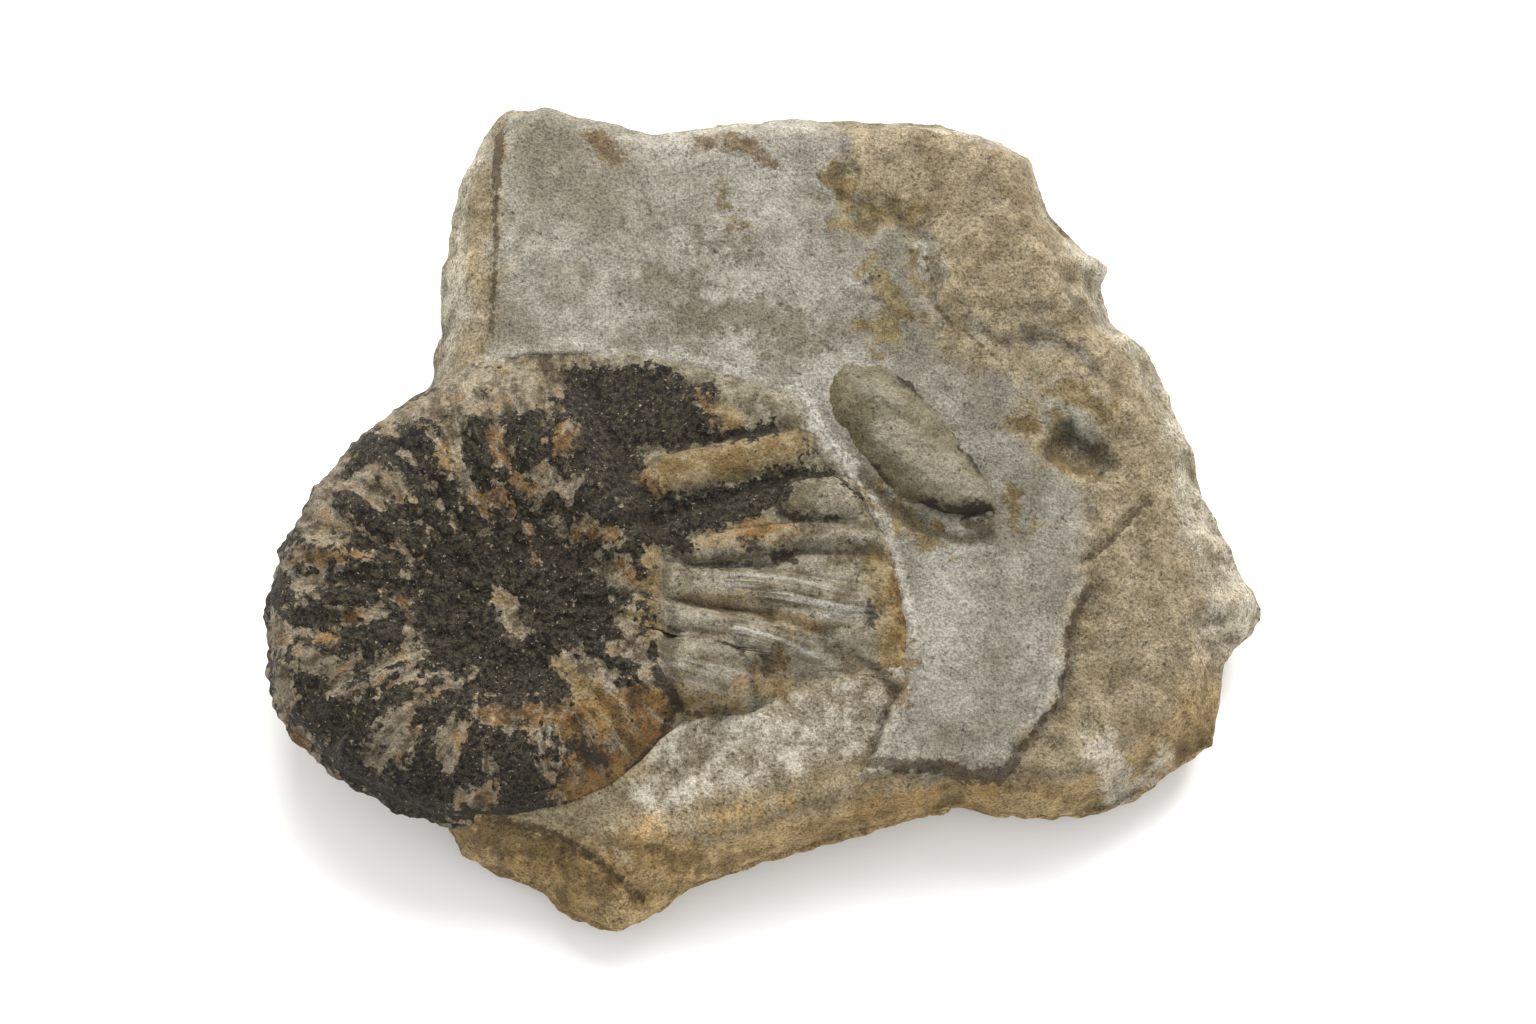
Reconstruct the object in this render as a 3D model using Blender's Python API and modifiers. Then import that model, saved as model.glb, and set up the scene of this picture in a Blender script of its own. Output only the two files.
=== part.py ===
"""A pleuroceras ammonite and a piece of a second whorl, lying in a hand-sized slab of bedded limestone.

Run it with blender --background --python part.py, or from the text editor.
Lengths are millimetres and are turned into metres where a mesh is made. X runs across the slab,
Y runs up its face and Z stands out of the face. The underside lies on z = 0.
"""
import bmesh
import bpy
import numpy as np
from mathutils import Vector, noise

MM = 0.001

# Driving dimensions of the slab.
FACE = 20.0
SHEET_STEP = 1.3
TAN_RISE = 0.7
UNEVEN = 0.5
BROKEN = 1.5
FOOT_TAPER = 0.07
SLAB_GRAIN = 1.5
SLAB_FACES = 3900
# The broken rim, clockwise from the top left: place, height of the rim, width of the slope down to it.
RIM = np.array([
    (-34.0, 54.3, 15.0, 5), (-29.0, 54.2, 16.5, 3), (-21.5, 52.2, 17.0, 3), (-14.5, 50.6, 17.0, 3),
    (-6.0, 52.1, 16.5, 4), (2.0, 52.7, 16.5, 4), (11.0, 52.8, 16.0, 4), (22.5, 52.7, 15.0, 5),
    (31.0, 50.3, 15.0, 6), (35.0, 48.2, 14.0, 6), (37.5, 40.5, 13.5, 7), (41.5, 36.5, 12.5, 8),
    (45.0, 33.5, 11.0, 6), (43.5, 30.5, 12.0, 8), (45.0, 26.5, 12.0, 9), (50.0, 21.5, 12.0, 9),
    (52.0, 17.0, 12.0, 9), (55.5, 9.0, 12.0, 9), (56.0, 5.0, 11.5, 9), (58.0, -1.0, 11.0, 10),
    (61.0, -6.5, 10.0, 12), (64.0, -11.5, 8.5, 12), (62.5, -15.0, 9.0, 12), (59.0, -19.0, 9.5, 11),
    (58.5, -24.5, 9.0, 11), (57.5, -29.0, 8.0, 10), (54.0, -31.5, 8.0, 9), (49.0, -35.0, 8.0, 8),
    (43.5, -38.0, 8.0, 7), (37.0, -39.0, 8.5, 6), (30.0, -38.5, 9.0, 5), (25.0, -37.5, 10.0, 4),
    (20.0, -39.0, 10.0, 4), (11.0, -41.0, 9.5, 5), (3.0, -43.5, 9.0, 5), (-4.5, -46.0, 8.5, 6),
    (-9.5, -48.0, 8.0, 8), (-15.0, -51.6, 6.5, 10), (-19.5, -53.3, 6.0, 12), (-24.5, -51.1, 6.0, 12),
    (-28.5, -48.0, 6.0, 11), (-33.5, -46.0, 6.0, 9), (-38.5, -43.5, 6.0, 7), (-41.0, -38.5, 7.0, 4),
    (-47.5, -35.0, 7.0, 4), (-54.0, -31.0, 7.0, 4), (-59.0, -26.0, 7.0, 4), (-61.0, -20.0, 7.0, 4),
    (-61.0, -10.0, 7.0, 4), (-59.0, -3.5, 7.0, 4), (-56.0, 3.0, 7.0, 4), (-51.5, 9.0, 8.0, 4),
    (-46.5, 13.5, 9.0, 4), (-43.5, 18.5, 10.0, 5), (-42.5, 25.0, 11.0, 7), (-42.5, 31.0, 12.0, 7),
    (-41.0, 37.5, 13.0, 7), (-40.0, 45.0, 14.0, 6), (-37.0, 51.2, 14.5, 5)])
# The grey sheet of bedding that stands above the tan layer below it.
GREY_SHEET = np.array([
    (-34.0, 60.0), (10.5, 60.0), (10.5, 50.5), (9.5, 42.0), (17.5, 37.5), (21.5, 35.0), (21.5, 27.0),
    (25.5, 24.0), (31.5, 21.0), (37.0, 22.0), (41.0, 20.0), (43.5, 15.0), (43.0, 10.0), (41.0, 3.0),
    (40.5, -5.0), (41.0, -12.5), (38.0, -16.5), (38.0, -23.0), (36.0, -27.5), (31.0, -33.0),
    (30.0, -35.5), (22.0, -34.5), (13.0, -35.5), (14.5, -31.0), (17.5, -24.5), (0.0, -10.0),
    (-30.0, 0.0), (-38.0, 17.5), (-35.5, 21.0), (-35.0, 32.5), (-35.0, 43.5)])
# The tan sheet that lies on the grey one at the upper right.
TAN_SHEET = np.array([
    (10.5, 60.0), (10.5, 50.5), (9.5, 42.0), (17.5, 37.5), (21.5, 35.0), (21.5, 27.0), (25.5, 24.0),
    (31.5, 21.0), (37.0, 22.0), (41.0, 20.0), (47.0, 17.0), (60.0, 20.0), (60.0, 60.0)])
# Hollows in the face: the line that each follows, half its width and its depth.
HOLLOWS = [
    ([(39.0, 8.6), (42.0, 7.2)], 2.6, 3.2),
    ([(18.5, -0.8), (23.0, -3.2), (28.5, -3.4)], 1.5, 2.2),
    ([(46.0, -2.0), (41.0, -8.0)], 0.9, 0.6)]

# Driving dimensions of the ammonite. Its centre is the middle of its coil.
COIL = np.array((-31.0, -14.7))
SECTORS = 132
TOP_RINGS = 15
RIBS = 24
SHELL_FOOT = 8.0
SHELL_RIM = 19.8
FLANK_RISE = 2.6
RIB_RISE = 1.4
RIB_LEAN = 3.0
RIB_END = 0.5
INNER_WHORLS = 0.4
CRUST_LUMPS = 0.3
SHOULDER = 0.55
EDGE_ROUND = 0.94
FIRST_BEARING = -8.5
# How far the shell's edge is from its centre, by bearing in degrees counter-clockwise from +X.
REACH = np.array([
    (-8.5, 50.0), (-1, 49.6), (11, 48.0), (24, 46.0), (38, 45.7), (45, 42.9), (56, 40.0), (65, 37.9),
    (75, 36.0), (95, 34.5), (111, 33.1), (132, 32.2), (145, 31.9), (170, 32.5), (189, 32.4),
    (199, 33.2), (207, 32.3), (219, 30.6), (234, 28.7), (247, 27.9), (265, 26.0), (282, 25.7),
    (301, 25.0), (317, 24.4), (330, 25.0), (337, 30.0), (344, 35.6), (350.5, 42.2), (351.5, 50.0)])
# The same for the ribbed coil alone, whose edge goes on inside the living chamber.
COIL_REACH = np.array(
    [(-10, 23.4), (40, 22.0), (60, 25.0), (76, 30.5)] + [tuple(row) for row in REACH if 90 < row[0] < 320]
    + [(332, 24.4), (352, 23.4)])
# Radius of the inner whorls' edge, where the outer whorl's flank starts.
SEAM = np.array([
    (-10, 10.8), (45, 11.4), (90, 12.3), (135, 12.5), (180, 12.0), (225, 11.4), (270, 10.6), (320, 10.3),
    (352, 10.8)])
# How free the edge stands of the slab, by bearing: 1 where the keel shows, 0 where it is bedded.
FREE = np.array([(-10, 0), (95, 0), (125, 1), (255, 1), (285, 0.3), (320, 0.2), (335, 0), (352, 0)])
# Rows down the shell's side: share of the reach where it stands free, and height.
SIDE = [(0.985, 17.0), (1.0, 13.5), (0.985, 10.5), (0.95, SHELL_FOOT)]
# Outline of the living chamber, the smooth last half whorl, clockwise from its inner lower corner.
CHAMBER = np.array([
    (-11.0, -27.0), (-12.5, -20.0), (-13.0, -13.0), (-13.5, -8.0), (-15.5, -2.0), (-18.0, 4.0),
    (-21.0, 10.0), (-23.0, 16.0), (-23.0, 24.0), (40.0, 24.0), (40.0, -32.0), (-11.0, -32.0)])
# Its folds, from the outside of the coil inwards: line, half width, rise.
FOLDS = [
    ([(-18.0, 2.0), (-8.5, 4.5), (2.5, 6.5)], 2.3, 1.3),
    ([(-26.0, 4.0), (-16.0, 7.5), (-8.5, 8.2), (1.5, 9.0)], 1.5, -0.8),
    ([(-21.0, -7.5), (-13.5, -3.0), (-8.5, 0.0), (-0.5, 2.5), (5.0, 4.5), (10.0, 4.0), (14.0, 0.0),
      (16.5, -5.0)], 1.4, -1.2),
    ([(4.0, -0.6), (12.0, -0.6)], 2.8, 1.2),
    ([(-9.0, -6.0), (2.0, -4.8), (14.5, -5.6)], 1.8, 1.0),
    ([(-10.0, -8.8), (0.0, -8.2), (8.0, -7.4), (15.0, -8.2)], 1.0, -1.0),
    ([(-11.0, -12.8), (0.0, -13.8), (14.0, -15.4)], 4.4, 2.0),
    ([(-9.5, -18.6), (1.0, -19.6), (10.0, -22.0)], 1.2, -0.9),
    ([(-10.0, -21.6), (-3.0, -22.6)], 3.4, 2.2)]

# Driving dimensions of the second fossil, a length of another shell's whorl.
PIECE = np.array((18.6, 7.6))
PIECE_FOOT = 15.5
PIECE_RIM = 20.2
PIECE_RISE = 3.4
PIECE_SECTORS = 44
PIECE_RINGS = 6
PIECE_EDGE = np.array([
    (8.0, 11.5), (7.5, 15.0), (9.5, 18.2), (13.5, 18.6), (18.0, 17.0), (22.0, 12.2), (25.2, 7.5),
    (29.2, 1.8), (29.8, -1.8), (28.0, -3.2), (22.5, -2.0), (17.5, 0.4), (13.0, 4.2), (10.0, 8.0)])

# The narrow gap that keeps two touching solids apart.
GAP = 0.3

MATRIX_COLOUR = (0.33, 0.29, 0.22, 1)
SHELL_COLOUR = (0.12, 0.09, 0.06, 1)
PIECE_COLOUR = (0.25, 0.22, 0.16, 1)


def to_line(points, line):
    """Distance from each point to a broken line, and the place on it, counted in the line's points."""
    line = np.asarray(line, float)[:, :2]
    start = line[:-1]
    run = line[1:] - start
    away = points[:, None] - start
    share = np.clip((away * run).sum(2) / (run ** 2).sum(1), 0, 1)
    gaps = np.linalg.norm(away - share[..., None] * run, axis=2)
    nearest = gaps.argmin(1)
    rows = np.arange(len(points))
    return gaps[rows, nearest], nearest + share[rows, nearest]


def inside(points, ring):
    """True for each point that lies inside a closed ring."""
    start = ring[:, :2]
    end = np.roll(start, -1, axis=0)
    rise = end[:, 1] - start[:, 1]
    rise = np.where(rise == 0, 1, rise)
    x, y = points[:, :1], points[:, 1:]
    crossed = (start[:, 1] > y) != (end[:, 1] > y)
    at = start[:, 0] + (y - start[:, 1]) * (end[:, 0] - start[:, 0]) / rise
    return (crossed & (x < at)).sum(1) % 2 == 1


def depth_in(points, ring):
    """How far each point is inside a closed ring, less than 0 outside, and the nearest place on it."""
    gap, place = to_line(points, np.vstack([ring, ring[:1]]))
    return np.where(inside(points, ring), gap, -gap), place


def ramp(value, width):
    """From 0 to 1, smoothly, as a value goes from half a width below 0 to half a width above it."""
    share = np.clip(value / width + 0.5, 0, 1)
    return share * share * (3 - 2 * share)


def swell(points, line, half_width):
    """1 along a line, fading to nothing over about its half width."""
    return np.exp(-(to_line(points, line)[0] / half_width) ** 2)


def lumps(points, size):
    """Natural unevenness between about -1 and 1, with lumps of a given size."""
    return np.array([noise.fractal(Vector(point) / size, 1.0, 2.0, 3) for point in points])


def face_height(points):
    """Height of the slab's upper face over each point, down to its broken rim."""
    flat = points[:, :2]
    tan = ramp(depth_in(flat, TAN_SHEET)[0], 1.6)
    grey = ramp(depth_in(flat, GREY_SHEET)[0], 1.4)
    height = FACE - SHEET_STEP * (1 - np.maximum(grey, tan)) + TAN_RISE * tan
    height += UNEVEN * lumps(np.c_[flat, np.zeros(len(flat))], 13)
    for line, half_width, depth in HOLLOWS:
        height -= depth * swell(flat, line, half_width)
    depth, place = depth_in(flat, RIM)
    steps = np.arange(len(RIM) + 1)
    rim, width = (np.interp(place, steps, np.append(RIM[:, k], RIM[0, k])) for k in (2, 3))
    share = np.clip(depth / width, 0, 1)
    broken = BROKEN * lumps(np.c_[flat, np.full(len(flat), 40.0)], 8) * np.sqrt(share) * (1 - share)
    return rim + (height - rim) * (1 - (1 - share) ** 1.7) + broken


def reach(bearing):
    """How far the shell's edge is from its centre, with a small point at the end of each rib."""
    plain = np.interp(bearing, *REACH.T)
    return plain + RIB_END * np.interp(bearing, *FREE.T) * ribs(bearing, 1.0)


def ribs(bearing, flank):
    """1 on the crest of each rib and 0 between two. The ribs lean forward towards the keel."""
    turn = np.radians(RIBS * (bearing + RIB_LEAN * flank ** 2))
    return (0.5 + 0.5 * np.cos(turn)) ** 1.3


def shell_height(points, bearing):
    """Height of the shell over each point: the ribbed coil, and the folded living chamber beside it."""
    out = np.linalg.norm(points - COIL, axis=1)
    seam = np.interp(bearing, *SEAM.T)
    edge = SHELL_RIM - 1.8 * np.interp(bearing, *FREE.T)
    flank = np.clip((out - seam) / (np.interp(bearing, *COIL_REACH.T) - seam), 0, 1)
    coil = SHELL_RIM + 1.2 + FLANK_RISE * np.sin(np.pi * flank ** 0.85) - 0.5 * (1 - flank) ** 6
    coil = edge + (coil - edge) * (1 - (np.clip(flank - SHOULDER, 0, 1) / (1 - SHOULDER)) ** 2.2)
    coil += RIB_RISE * ribs(bearing, flank) * np.sin(np.pi * np.clip(flank, 0, 0.98) ** 1.3)
    inner = np.clip(out / seam, 0, 1)
    coil -= np.where(inner < 1, 0.9 * (1 - inner) + INNER_WHORLS * (1 + np.cos(3 * np.pi * inner)), 0)
    whole = out / reach(bearing)
    chamber = SHELL_RIM + 1.0 * np.sin(np.pi * np.clip((whole - 0.3) / 0.7, 0, 1)) ** 0.7
    for line, half_width, rise in FOLDS:
        chamber += rise * swell(points, line, half_width)
    part = ramp(depth_in(points, CHAMBER)[0], 3.0)
    rough = CRUST_LUMPS * (1 - part) * lumps(np.c_[points, np.zeros(len(points))], 4)
    return coil * (1 - part) + chamber * part + rough


def baked(helper):
    """The mesh of an object as Blender evaluates it, in world space. The object itself is removed."""
    bpy.context.view_layer.update()
    graph = bpy.context.evaluated_depsgraph_get()
    mesh = bpy.data.meshes.new_from_object(helper.evaluated_get(graph))
    mesh.transform(helper.matrix_world)
    bpy.data.objects.remove(helper)
    return mesh


def prism(name, ring, bottom, top):
    """A straight-sided solid on a closed outline: a filled flat curve, raised from bottom to top."""
    curve = bpy.data.curves.new(name, "CURVE")
    curve.dimensions = "2D"
    curve.fill_mode = "BOTH"
    curve.extrude = (top - bottom) / 2 * MM
    spline = curve.splines.new("POLY")
    spline.points.add(len(ring) - 1)
    for point, (x, y) in zip(spline.points, ring):
        point.co = (x * MM, y * MM, 0, 1)
    spline.use_cyclic_u = True
    helper = bpy.data.objects.new(name, curve)
    helper.location.z = (top + bottom) / 2 * MM
    bpy.context.scene.collection.objects.link(helper)
    mesh = baked(helper)
    mesh.name = name
    tidy = bmesh.new()
    tidy.from_mesh(mesh)
    bmesh.ops.remove_doubles(tidy, verts=tidy.verts, dist=1e-6)
    bmesh.ops.recalc_face_normals(tidy, faces=tidy.faces)
    tidy.to_mesh(mesh)
    tidy.free()
    return mesh


def coordinates(mesh):
    """The places of a mesh's points, in millimetres."""
    flat = np.empty(len(mesh.vertices) * 3, np.float32)
    mesh.vertices.foreach_get("co", flat)
    return flat.reshape(-1, 3).astype(float) / MM


def loft(name, rows, top, bottom):
    """A closed solid over rows of points that each run round it, with one point closing each end."""
    shape = bmesh.new()
    made = [[shape.verts.new(Vector(point) * MM) for point in row] for row in rows]
    crown = shape.verts.new(Vector(top) * MM)
    foot = shape.verts.new(Vector(bottom) * MM)
    count = len(rows[0])
    for k in range(count):
        after = (k + 1) % count
        shape.faces.new((crown, made[0][k], made[0][after]))
        for inner, outer in zip(made, made[1:]):
            shape.faces.new((inner[k], outer[k], outer[after], inner[after]))
        shape.faces.new((foot, made[-1][after], made[-1][k]))
    mesh = bpy.data.meshes.new(name)
    shape.to_mesh(mesh)
    shape.free()
    return mesh


def grown(ring, gap):
    """A counter-clockwise ring moved outwards by a gap."""
    along = np.roll(ring, -1, axis=0) - np.roll(ring, 1, axis=0)
    outward = np.c_[along[:, 1], -along[:, 0]] / np.linalg.norm(along, axis=1)[:, None]
    return ring + gap * outward


def stone_colour(name, colour, rough):
    """A plain dull stone material."""
    material = bpy.data.materials.new(name)
    material.use_nodes = True
    shader = material.node_tree.nodes["Principled BSDF"]
    shader.inputs["Base Color"].default_value = colour
    shader.inputs["Roughness"].default_value = rough
    shader.inputs["Metallic"].default_value = 0.0
    return material


def placed(name, mesh, collection, material=None):
    """An object for a mesh, linked to its collection."""
    made = bpy.data.objects.new(name, mesh)
    collection.objects.link(made)
    if material:
        mesh.materials.append(material)
    return made


def matrix_slab(collection):
    """The slab: its outline raised to a prism, divided evenly, then shaped by its face, rim and foot."""
    blank = placed("slab_blank", prism("slab_blank", RIM[:, :2], 0, FACE), collection)
    evened = blank.modifiers.new("even", "REMESH")
    evened.mode = "VOXEL"
    evened.voxel_size = SLAB_GRAIN * MM
    mesh = baked(blank)
    mesh.name = "matrix_slab"
    points = coordinates(mesh)
    level = np.clip(points[:, 2] / FACE, 0, 1)
    level[level < 0.04] = 0
    foot = 1 - FOOT_TAPER * (1 - level) ** 2
    ledge = 0.9 * lumps(points * (1, 1, 2.2), 7) * ramp(level * (1 - level) - 0.08, 0.1)
    around = points[:, :2] / np.linalg.norm(points[:, :2] + 1e-6, axis=1)[:, None]
    near_side = ramp(3.0 - depth_in(points[:, :2], RIM)[0], 3.0)
    shaped = points.copy()
    shaped[:, 2] = level * face_height(points)
    shaped[:, :2] = points[:, :2] * foot[:, None] + around * (ledge * near_side)[:, None]
    mesh.vertices.foreach_set("co", (shaped * MM).astype(np.float32).ravel())
    slab = placed("matrix_slab", mesh, collection, stone_colour("matrix", MATRIX_COLOUR, 0.95))
    fewer = slab.modifiers.new("fewer", "DECIMATE")
    fewer.ratio = SLAB_FACES / (2 * len(mesh.polygons))
    return slab


def ammonite(collection):
    """The shell: rings round the centre of its coil, up its flank, over the keel and down to its foot."""
    bearing = FIRST_BEARING + np.arange(SECTORS) * 360 / SECTORS
    turned = np.radians(bearing)
    direction = np.c_[np.cos(turned), np.sin(turned)]
    edge = reach(bearing)
    free = np.interp(bearing, *FREE.T)
    rows = []
    for ring in range(1, TOP_RINGS + 1):
        share = np.full(SECTORS, ring / TOP_RINGS)
        out = share * (1 - (1 - EDGE_ROUND) * free * share ** 3)
        flat = COIL + direction * (edge * out)[:, None]
        rows.append(np.c_[flat, shell_height(flat, bearing)])
    for part, height in SIDE:
        out = 1 - (1 - part) * free
        rows.append(np.c_[COIL + direction * (edge * out)[:, None], np.full(SECTORS, height)])
    top = (*COIL, SHELL_RIM - 0.6)
    mesh = loft("ammonite", rows, top, (*COIL, SHELL_FOOT))
    mesh.shade_smooth()
    shell = placed("ammonite", mesh, collection, stone_colour("shell", SHELL_COLOUR, 0.8))
    return shell, COIL + direction * edge[:, None]


def whorl_fragment(collection):
    """The second fossil: a long rounded back inside its outline, on straight sides set in the slab."""
    outline = PIECE_EDGE - PIECE
    angles = np.unwrap(np.arctan2(outline[:, 1], outline[:, 0])[::-1])
    lengths = np.linalg.norm(outline, axis=1)[::-1]
    bearing = angles[0] + np.arange(PIECE_SECTORS) * 2 * np.pi / PIECE_SECTORS
    angles = np.append(angles, angles[0] + 2 * np.pi)
    lengths = np.append(lengths, lengths[0])
    edge = np.c_[np.cos(bearing), np.sin(bearing)] * np.interp(bearing, angles, lengths)[:, None]
    rows = []
    for ring in range(1, PIECE_RINGS + 1):
        share = np.sin(ring / PIECE_RINGS * np.pi / 2)
        height = PIECE_RIM + PIECE_RISE * np.sqrt(1 - share ** 2 + 1e-9)
        rows.append(np.c_[PIECE + edge * share, np.full(PIECE_SECTORS, height)])
    rows.append(np.c_[PIECE + edge, np.full(PIECE_SECTORS, PIECE_FOOT)])
    mesh = loft("whorl_fragment", rows, (*PIECE, PIECE_RIM + PIECE_RISE), (*PIECE, PIECE_FOOT))
    mesh.shade_smooth()
    return placed("whorl_fragment", mesh, collection, stone_colour("mould", PIECE_COLOUR, 0.9)), PIECE + edge


def socket(slab, name, ring, floor, collection):
    """Cuts the bed of a fossil into the slab, a gap wider than the fossil all round and below it."""
    mesh = prism(name, grown(ring, GAP), floor - GAP, FACE + 12)
    cutter = placed(name, mesh, collection)
    cutter.hide_render = True
    cutter.display_type = "WIRE"
    cut = slab.modifiers.new(name, "BOOLEAN")
    cut.operation = "DIFFERENCE"
    cut.solver = "EXACT"
    cut.object = cutter


def build():
    """Clears the scene and makes the three pieces and the two beds cut in the slab."""
    for old in list(bpy.data.objects):
        bpy.data.objects.remove(old)
    scene = bpy.context.scene.collection
    pieces = bpy.data.collections.new("fossil_pleuroceras_ammonite")
    cutters = bpy.data.collections.new("cutters")
    scene.children.link(pieces)
    scene.children.link(cutters)
    slab = matrix_slab(pieces)
    shell, shell_ring = ammonite(pieces)
    piece, piece_ring = whorl_fragment(pieces)
    socket(slab, "shell_bed", shell_ring, SHELL_FOOT, cutters)
    socket(slab, "fragment_bed", piece_ring, PIECE_FOOT, cutters)


build()
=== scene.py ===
import bpy
import numpy as np
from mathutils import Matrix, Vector, noise


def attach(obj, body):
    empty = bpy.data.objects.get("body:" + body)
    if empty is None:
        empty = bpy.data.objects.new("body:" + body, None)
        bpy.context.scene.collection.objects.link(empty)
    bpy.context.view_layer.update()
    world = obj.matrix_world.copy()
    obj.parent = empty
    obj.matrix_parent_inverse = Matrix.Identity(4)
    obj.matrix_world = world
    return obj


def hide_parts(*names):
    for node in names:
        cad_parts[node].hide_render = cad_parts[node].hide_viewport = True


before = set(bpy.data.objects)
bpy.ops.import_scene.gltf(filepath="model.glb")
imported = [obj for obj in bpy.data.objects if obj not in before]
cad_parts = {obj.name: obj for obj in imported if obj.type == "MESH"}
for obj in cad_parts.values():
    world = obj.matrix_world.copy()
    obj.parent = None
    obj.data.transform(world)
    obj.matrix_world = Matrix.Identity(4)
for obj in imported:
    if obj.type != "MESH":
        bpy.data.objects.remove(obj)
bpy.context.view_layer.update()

# The matrix slab: a hand-sized piece of marly limestone, split from its bed along the layers and
# knocked square at the rim. A grey sheet of bedding lies on a tan one, and a thin tan sheet lies on
# that at the upper right. The stone is dry and dull. Lengths are millimetres in the frame's own axes.
MM = 0.001
FACE = 20.0
SHEET_STEP = 1.3
TAN_RISE = 0.45
UNEVEN = 0.5
BROKEN = 1.5
FOOT_TAPER = 0.07
SLAB_GRAIN = 0.52
SLAB_TRIANGLES = 185000
STONE_GAIN = 0.55
GRAIN_RELIEF = 0.6
# The slab's outline: x, y, the height at which its face breaks off, and the width of the broken slope.
RIM = np.array([
    (-34.0, 54.3, 15.0, 5), (-29.0, 54.2, 16.5, 3), (-21.5, 52.2, 17.0, 3), (-14.5, 50.6, 17.0, 3),
    (-6.0, 52.1, 16.5, 4), (2.0, 52.7, 16.5, 4), (11.0, 52.8, 16.0, 4), (22.5, 52.7, 15.0, 5),
    (31.0, 50.3, 15.0, 6), (35.0, 48.2, 14.0, 6), (37.5, 40.5, 13.5, 7), (41.5, 36.5, 12.5, 8),
    (45.0, 33.5, 11.0, 6), (43.5, 30.5, 12.0, 8), (45.0, 26.5, 12.0, 9), (50.0, 21.5, 12.0, 9),
    (52.0, 17.0, 12.0, 9), (55.5, 9.0, 12.0, 9), (56.0, 5.0, 11.5, 9), (58.0, -1.0, 11.0, 10),
    (61.0, -6.5, 10.0, 12), (64.0, -11.5, 8.5, 12), (62.5, -15.0, 9.0, 12), (59.0, -19.0, 9.5, 11),
    (58.5, -24.5, 9.0, 11), (57.5, -29.0, 8.0, 10), (54.0, -31.5, 8.0, 9), (49.0, -35.0, 8.0, 8),
    (43.5, -38.0, 8.0, 7), (37.0, -39.0, 8.5, 6), (30.0, -38.5, 9.0, 5), (25.0, -37.5, 10.0, 4),
    (20.0, -39.0, 10.0, 4), (11.0, -41.0, 9.5, 5), (3.0, -43.5, 9.0, 5), (-4.5, -46.0, 8.5, 6),
    (-9.5, -48.0, 8.0, 8), (-15.0, -51.6, 6.5, 10), (-19.5, -53.3, 6.0, 12), (-24.5, -51.1, 6.0, 12),
    (-28.5, -48.0, 6.0, 11), (-33.5, -46.0, 6.0, 9), (-38.5, -43.5, 6.0, 7), (-41.0, -38.5, 7.0, 4),
    (-47.5, -35.0, 7.0, 4), (-54.0, -31.0, 7.0, 4), (-59.0, -26.0, 7.0, 4), (-61.0, -20.0, 7.0, 4),
    (-61.0, -10.0, 7.0, 4), (-59.0, -3.5, 7.0, 4), (-56.0, 3.0, 7.0, 4), (-51.5, 9.0, 8.0, 4),
    (-46.5, 13.5, 9.0, 4), (-43.5, 18.5, 10.0, 5), (-42.5, 25.0, 11.0, 7), (-42.5, 31.0, 12.0, 7),
    (-41.0, 37.5, 13.0, 7), (-40.0, 45.0, 14.0, 6), (-37.0, 51.2, 14.5, 5)])
GREY_SHEET = np.array([
    (-34.0, 60.0), (10.5, 60.0), (10.5, 50.5), (9.5, 42.0), (17.5, 37.5), (21.5, 35.0), (21.5, 27.0),
    (25.5, 24.0), (31.5, 21.0), (37.0, 22.0), (41.0, 20.0), (41.8, 15.0), (42.2, 10.0), (40.6, 3.0),
    (40.5, -5.0), (41.0, -12.5), (38.0, -16.5), (38.0, -23.0), (36.0, -27.5), (31.0, -33.0),
    (30.0, -35.5), (22.0, -34.5), (13.0, -35.5), (14.5, -31.0), (17.5, -24.5), (0.0, -10.0),
    (-30.0, 0.0), (-38.0, 17.5), (-35.5, 21.0), (-35.0, 32.5), (-35.0, 43.5)])
TAN_SHEET = np.array([
    (10.5, 60.0), (10.5, 50.5), (9.5, 42.0), (17.5, 37.5), (21.5, 35.0), (21.5, 27.0), (25.5, 24.0),
    (31.5, 21.0), (37.0, 22.0), (41.0, 20.0), (47.0, 17.0), (60.0, 20.0), (60.0, 60.0)])
# The bed of the ammonite in the slab: the middle of its coil, and how far its edge is by bearing.
COIL = np.array((-31.0, -14.7))
FIRST_BEARING = -8.5
REACH = np.array([
    (-8.5, 50.0), (-1, 49.6), (11, 48.0), (24, 46.0), (38, 45.7), (45, 42.9), (56, 40.0), (65, 37.9),
    (75, 36.0), (95, 34.5), (111, 33.1), (132, 32.2), (145, 31.9), (170, 32.5), (189, 32.4),
    (199, 33.2), (207, 32.3), (219, 30.6), (234, 28.7), (247, 27.9), (265, 26.0), (282, 25.7),
    (301, 25.0), (317, 24.4), (326, 25.2), (331, 28.0), (334.5, 31.0), (337.5, 33.0), (342.5, 35.8),
    (346, 39.3), (349.2, 44.5), (350, 50.1), (351.5, 50.0)])
COIL_STEP = 1.5
BED = 7.7
BED_INSET = 1.5
BED_STEEP = 0.9
FLAKE_DEEP = 0.35
# Pits and gaps in the face: a line, half its width, and how deep it is.
HOLLOWS = [
    ([(38.4, 7.8), (42.2, 6.2)], 2.3, 3.0), ([(37.0, 6.6), (40.5, 4.8)], 1.0, 1.0),
    ([(12.5, 3.0), (16.0, -0.6), (19.5, -2.6)], 1.2, 1.3),
    ([(19.6, -3.4), (23.0, -4.8), (28.6, -5.2)], 0.8, 0.7),
    ([(49.5, 1.0), (46.0, -2.0), (43.0, -6.0), (40.0, -8.5)], 0.5, 0.5),
    ([(16.4, -26.0), (15.0, -28.5), (13.4, -33.5)], 0.7, 0.55),
    ([(-38.5, -40.5), (-31.0, -42.0), (-26.0, -43.0), (-21.0, -46.5), (-16.5, -49.8)], 0.8, 1.0)]
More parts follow.
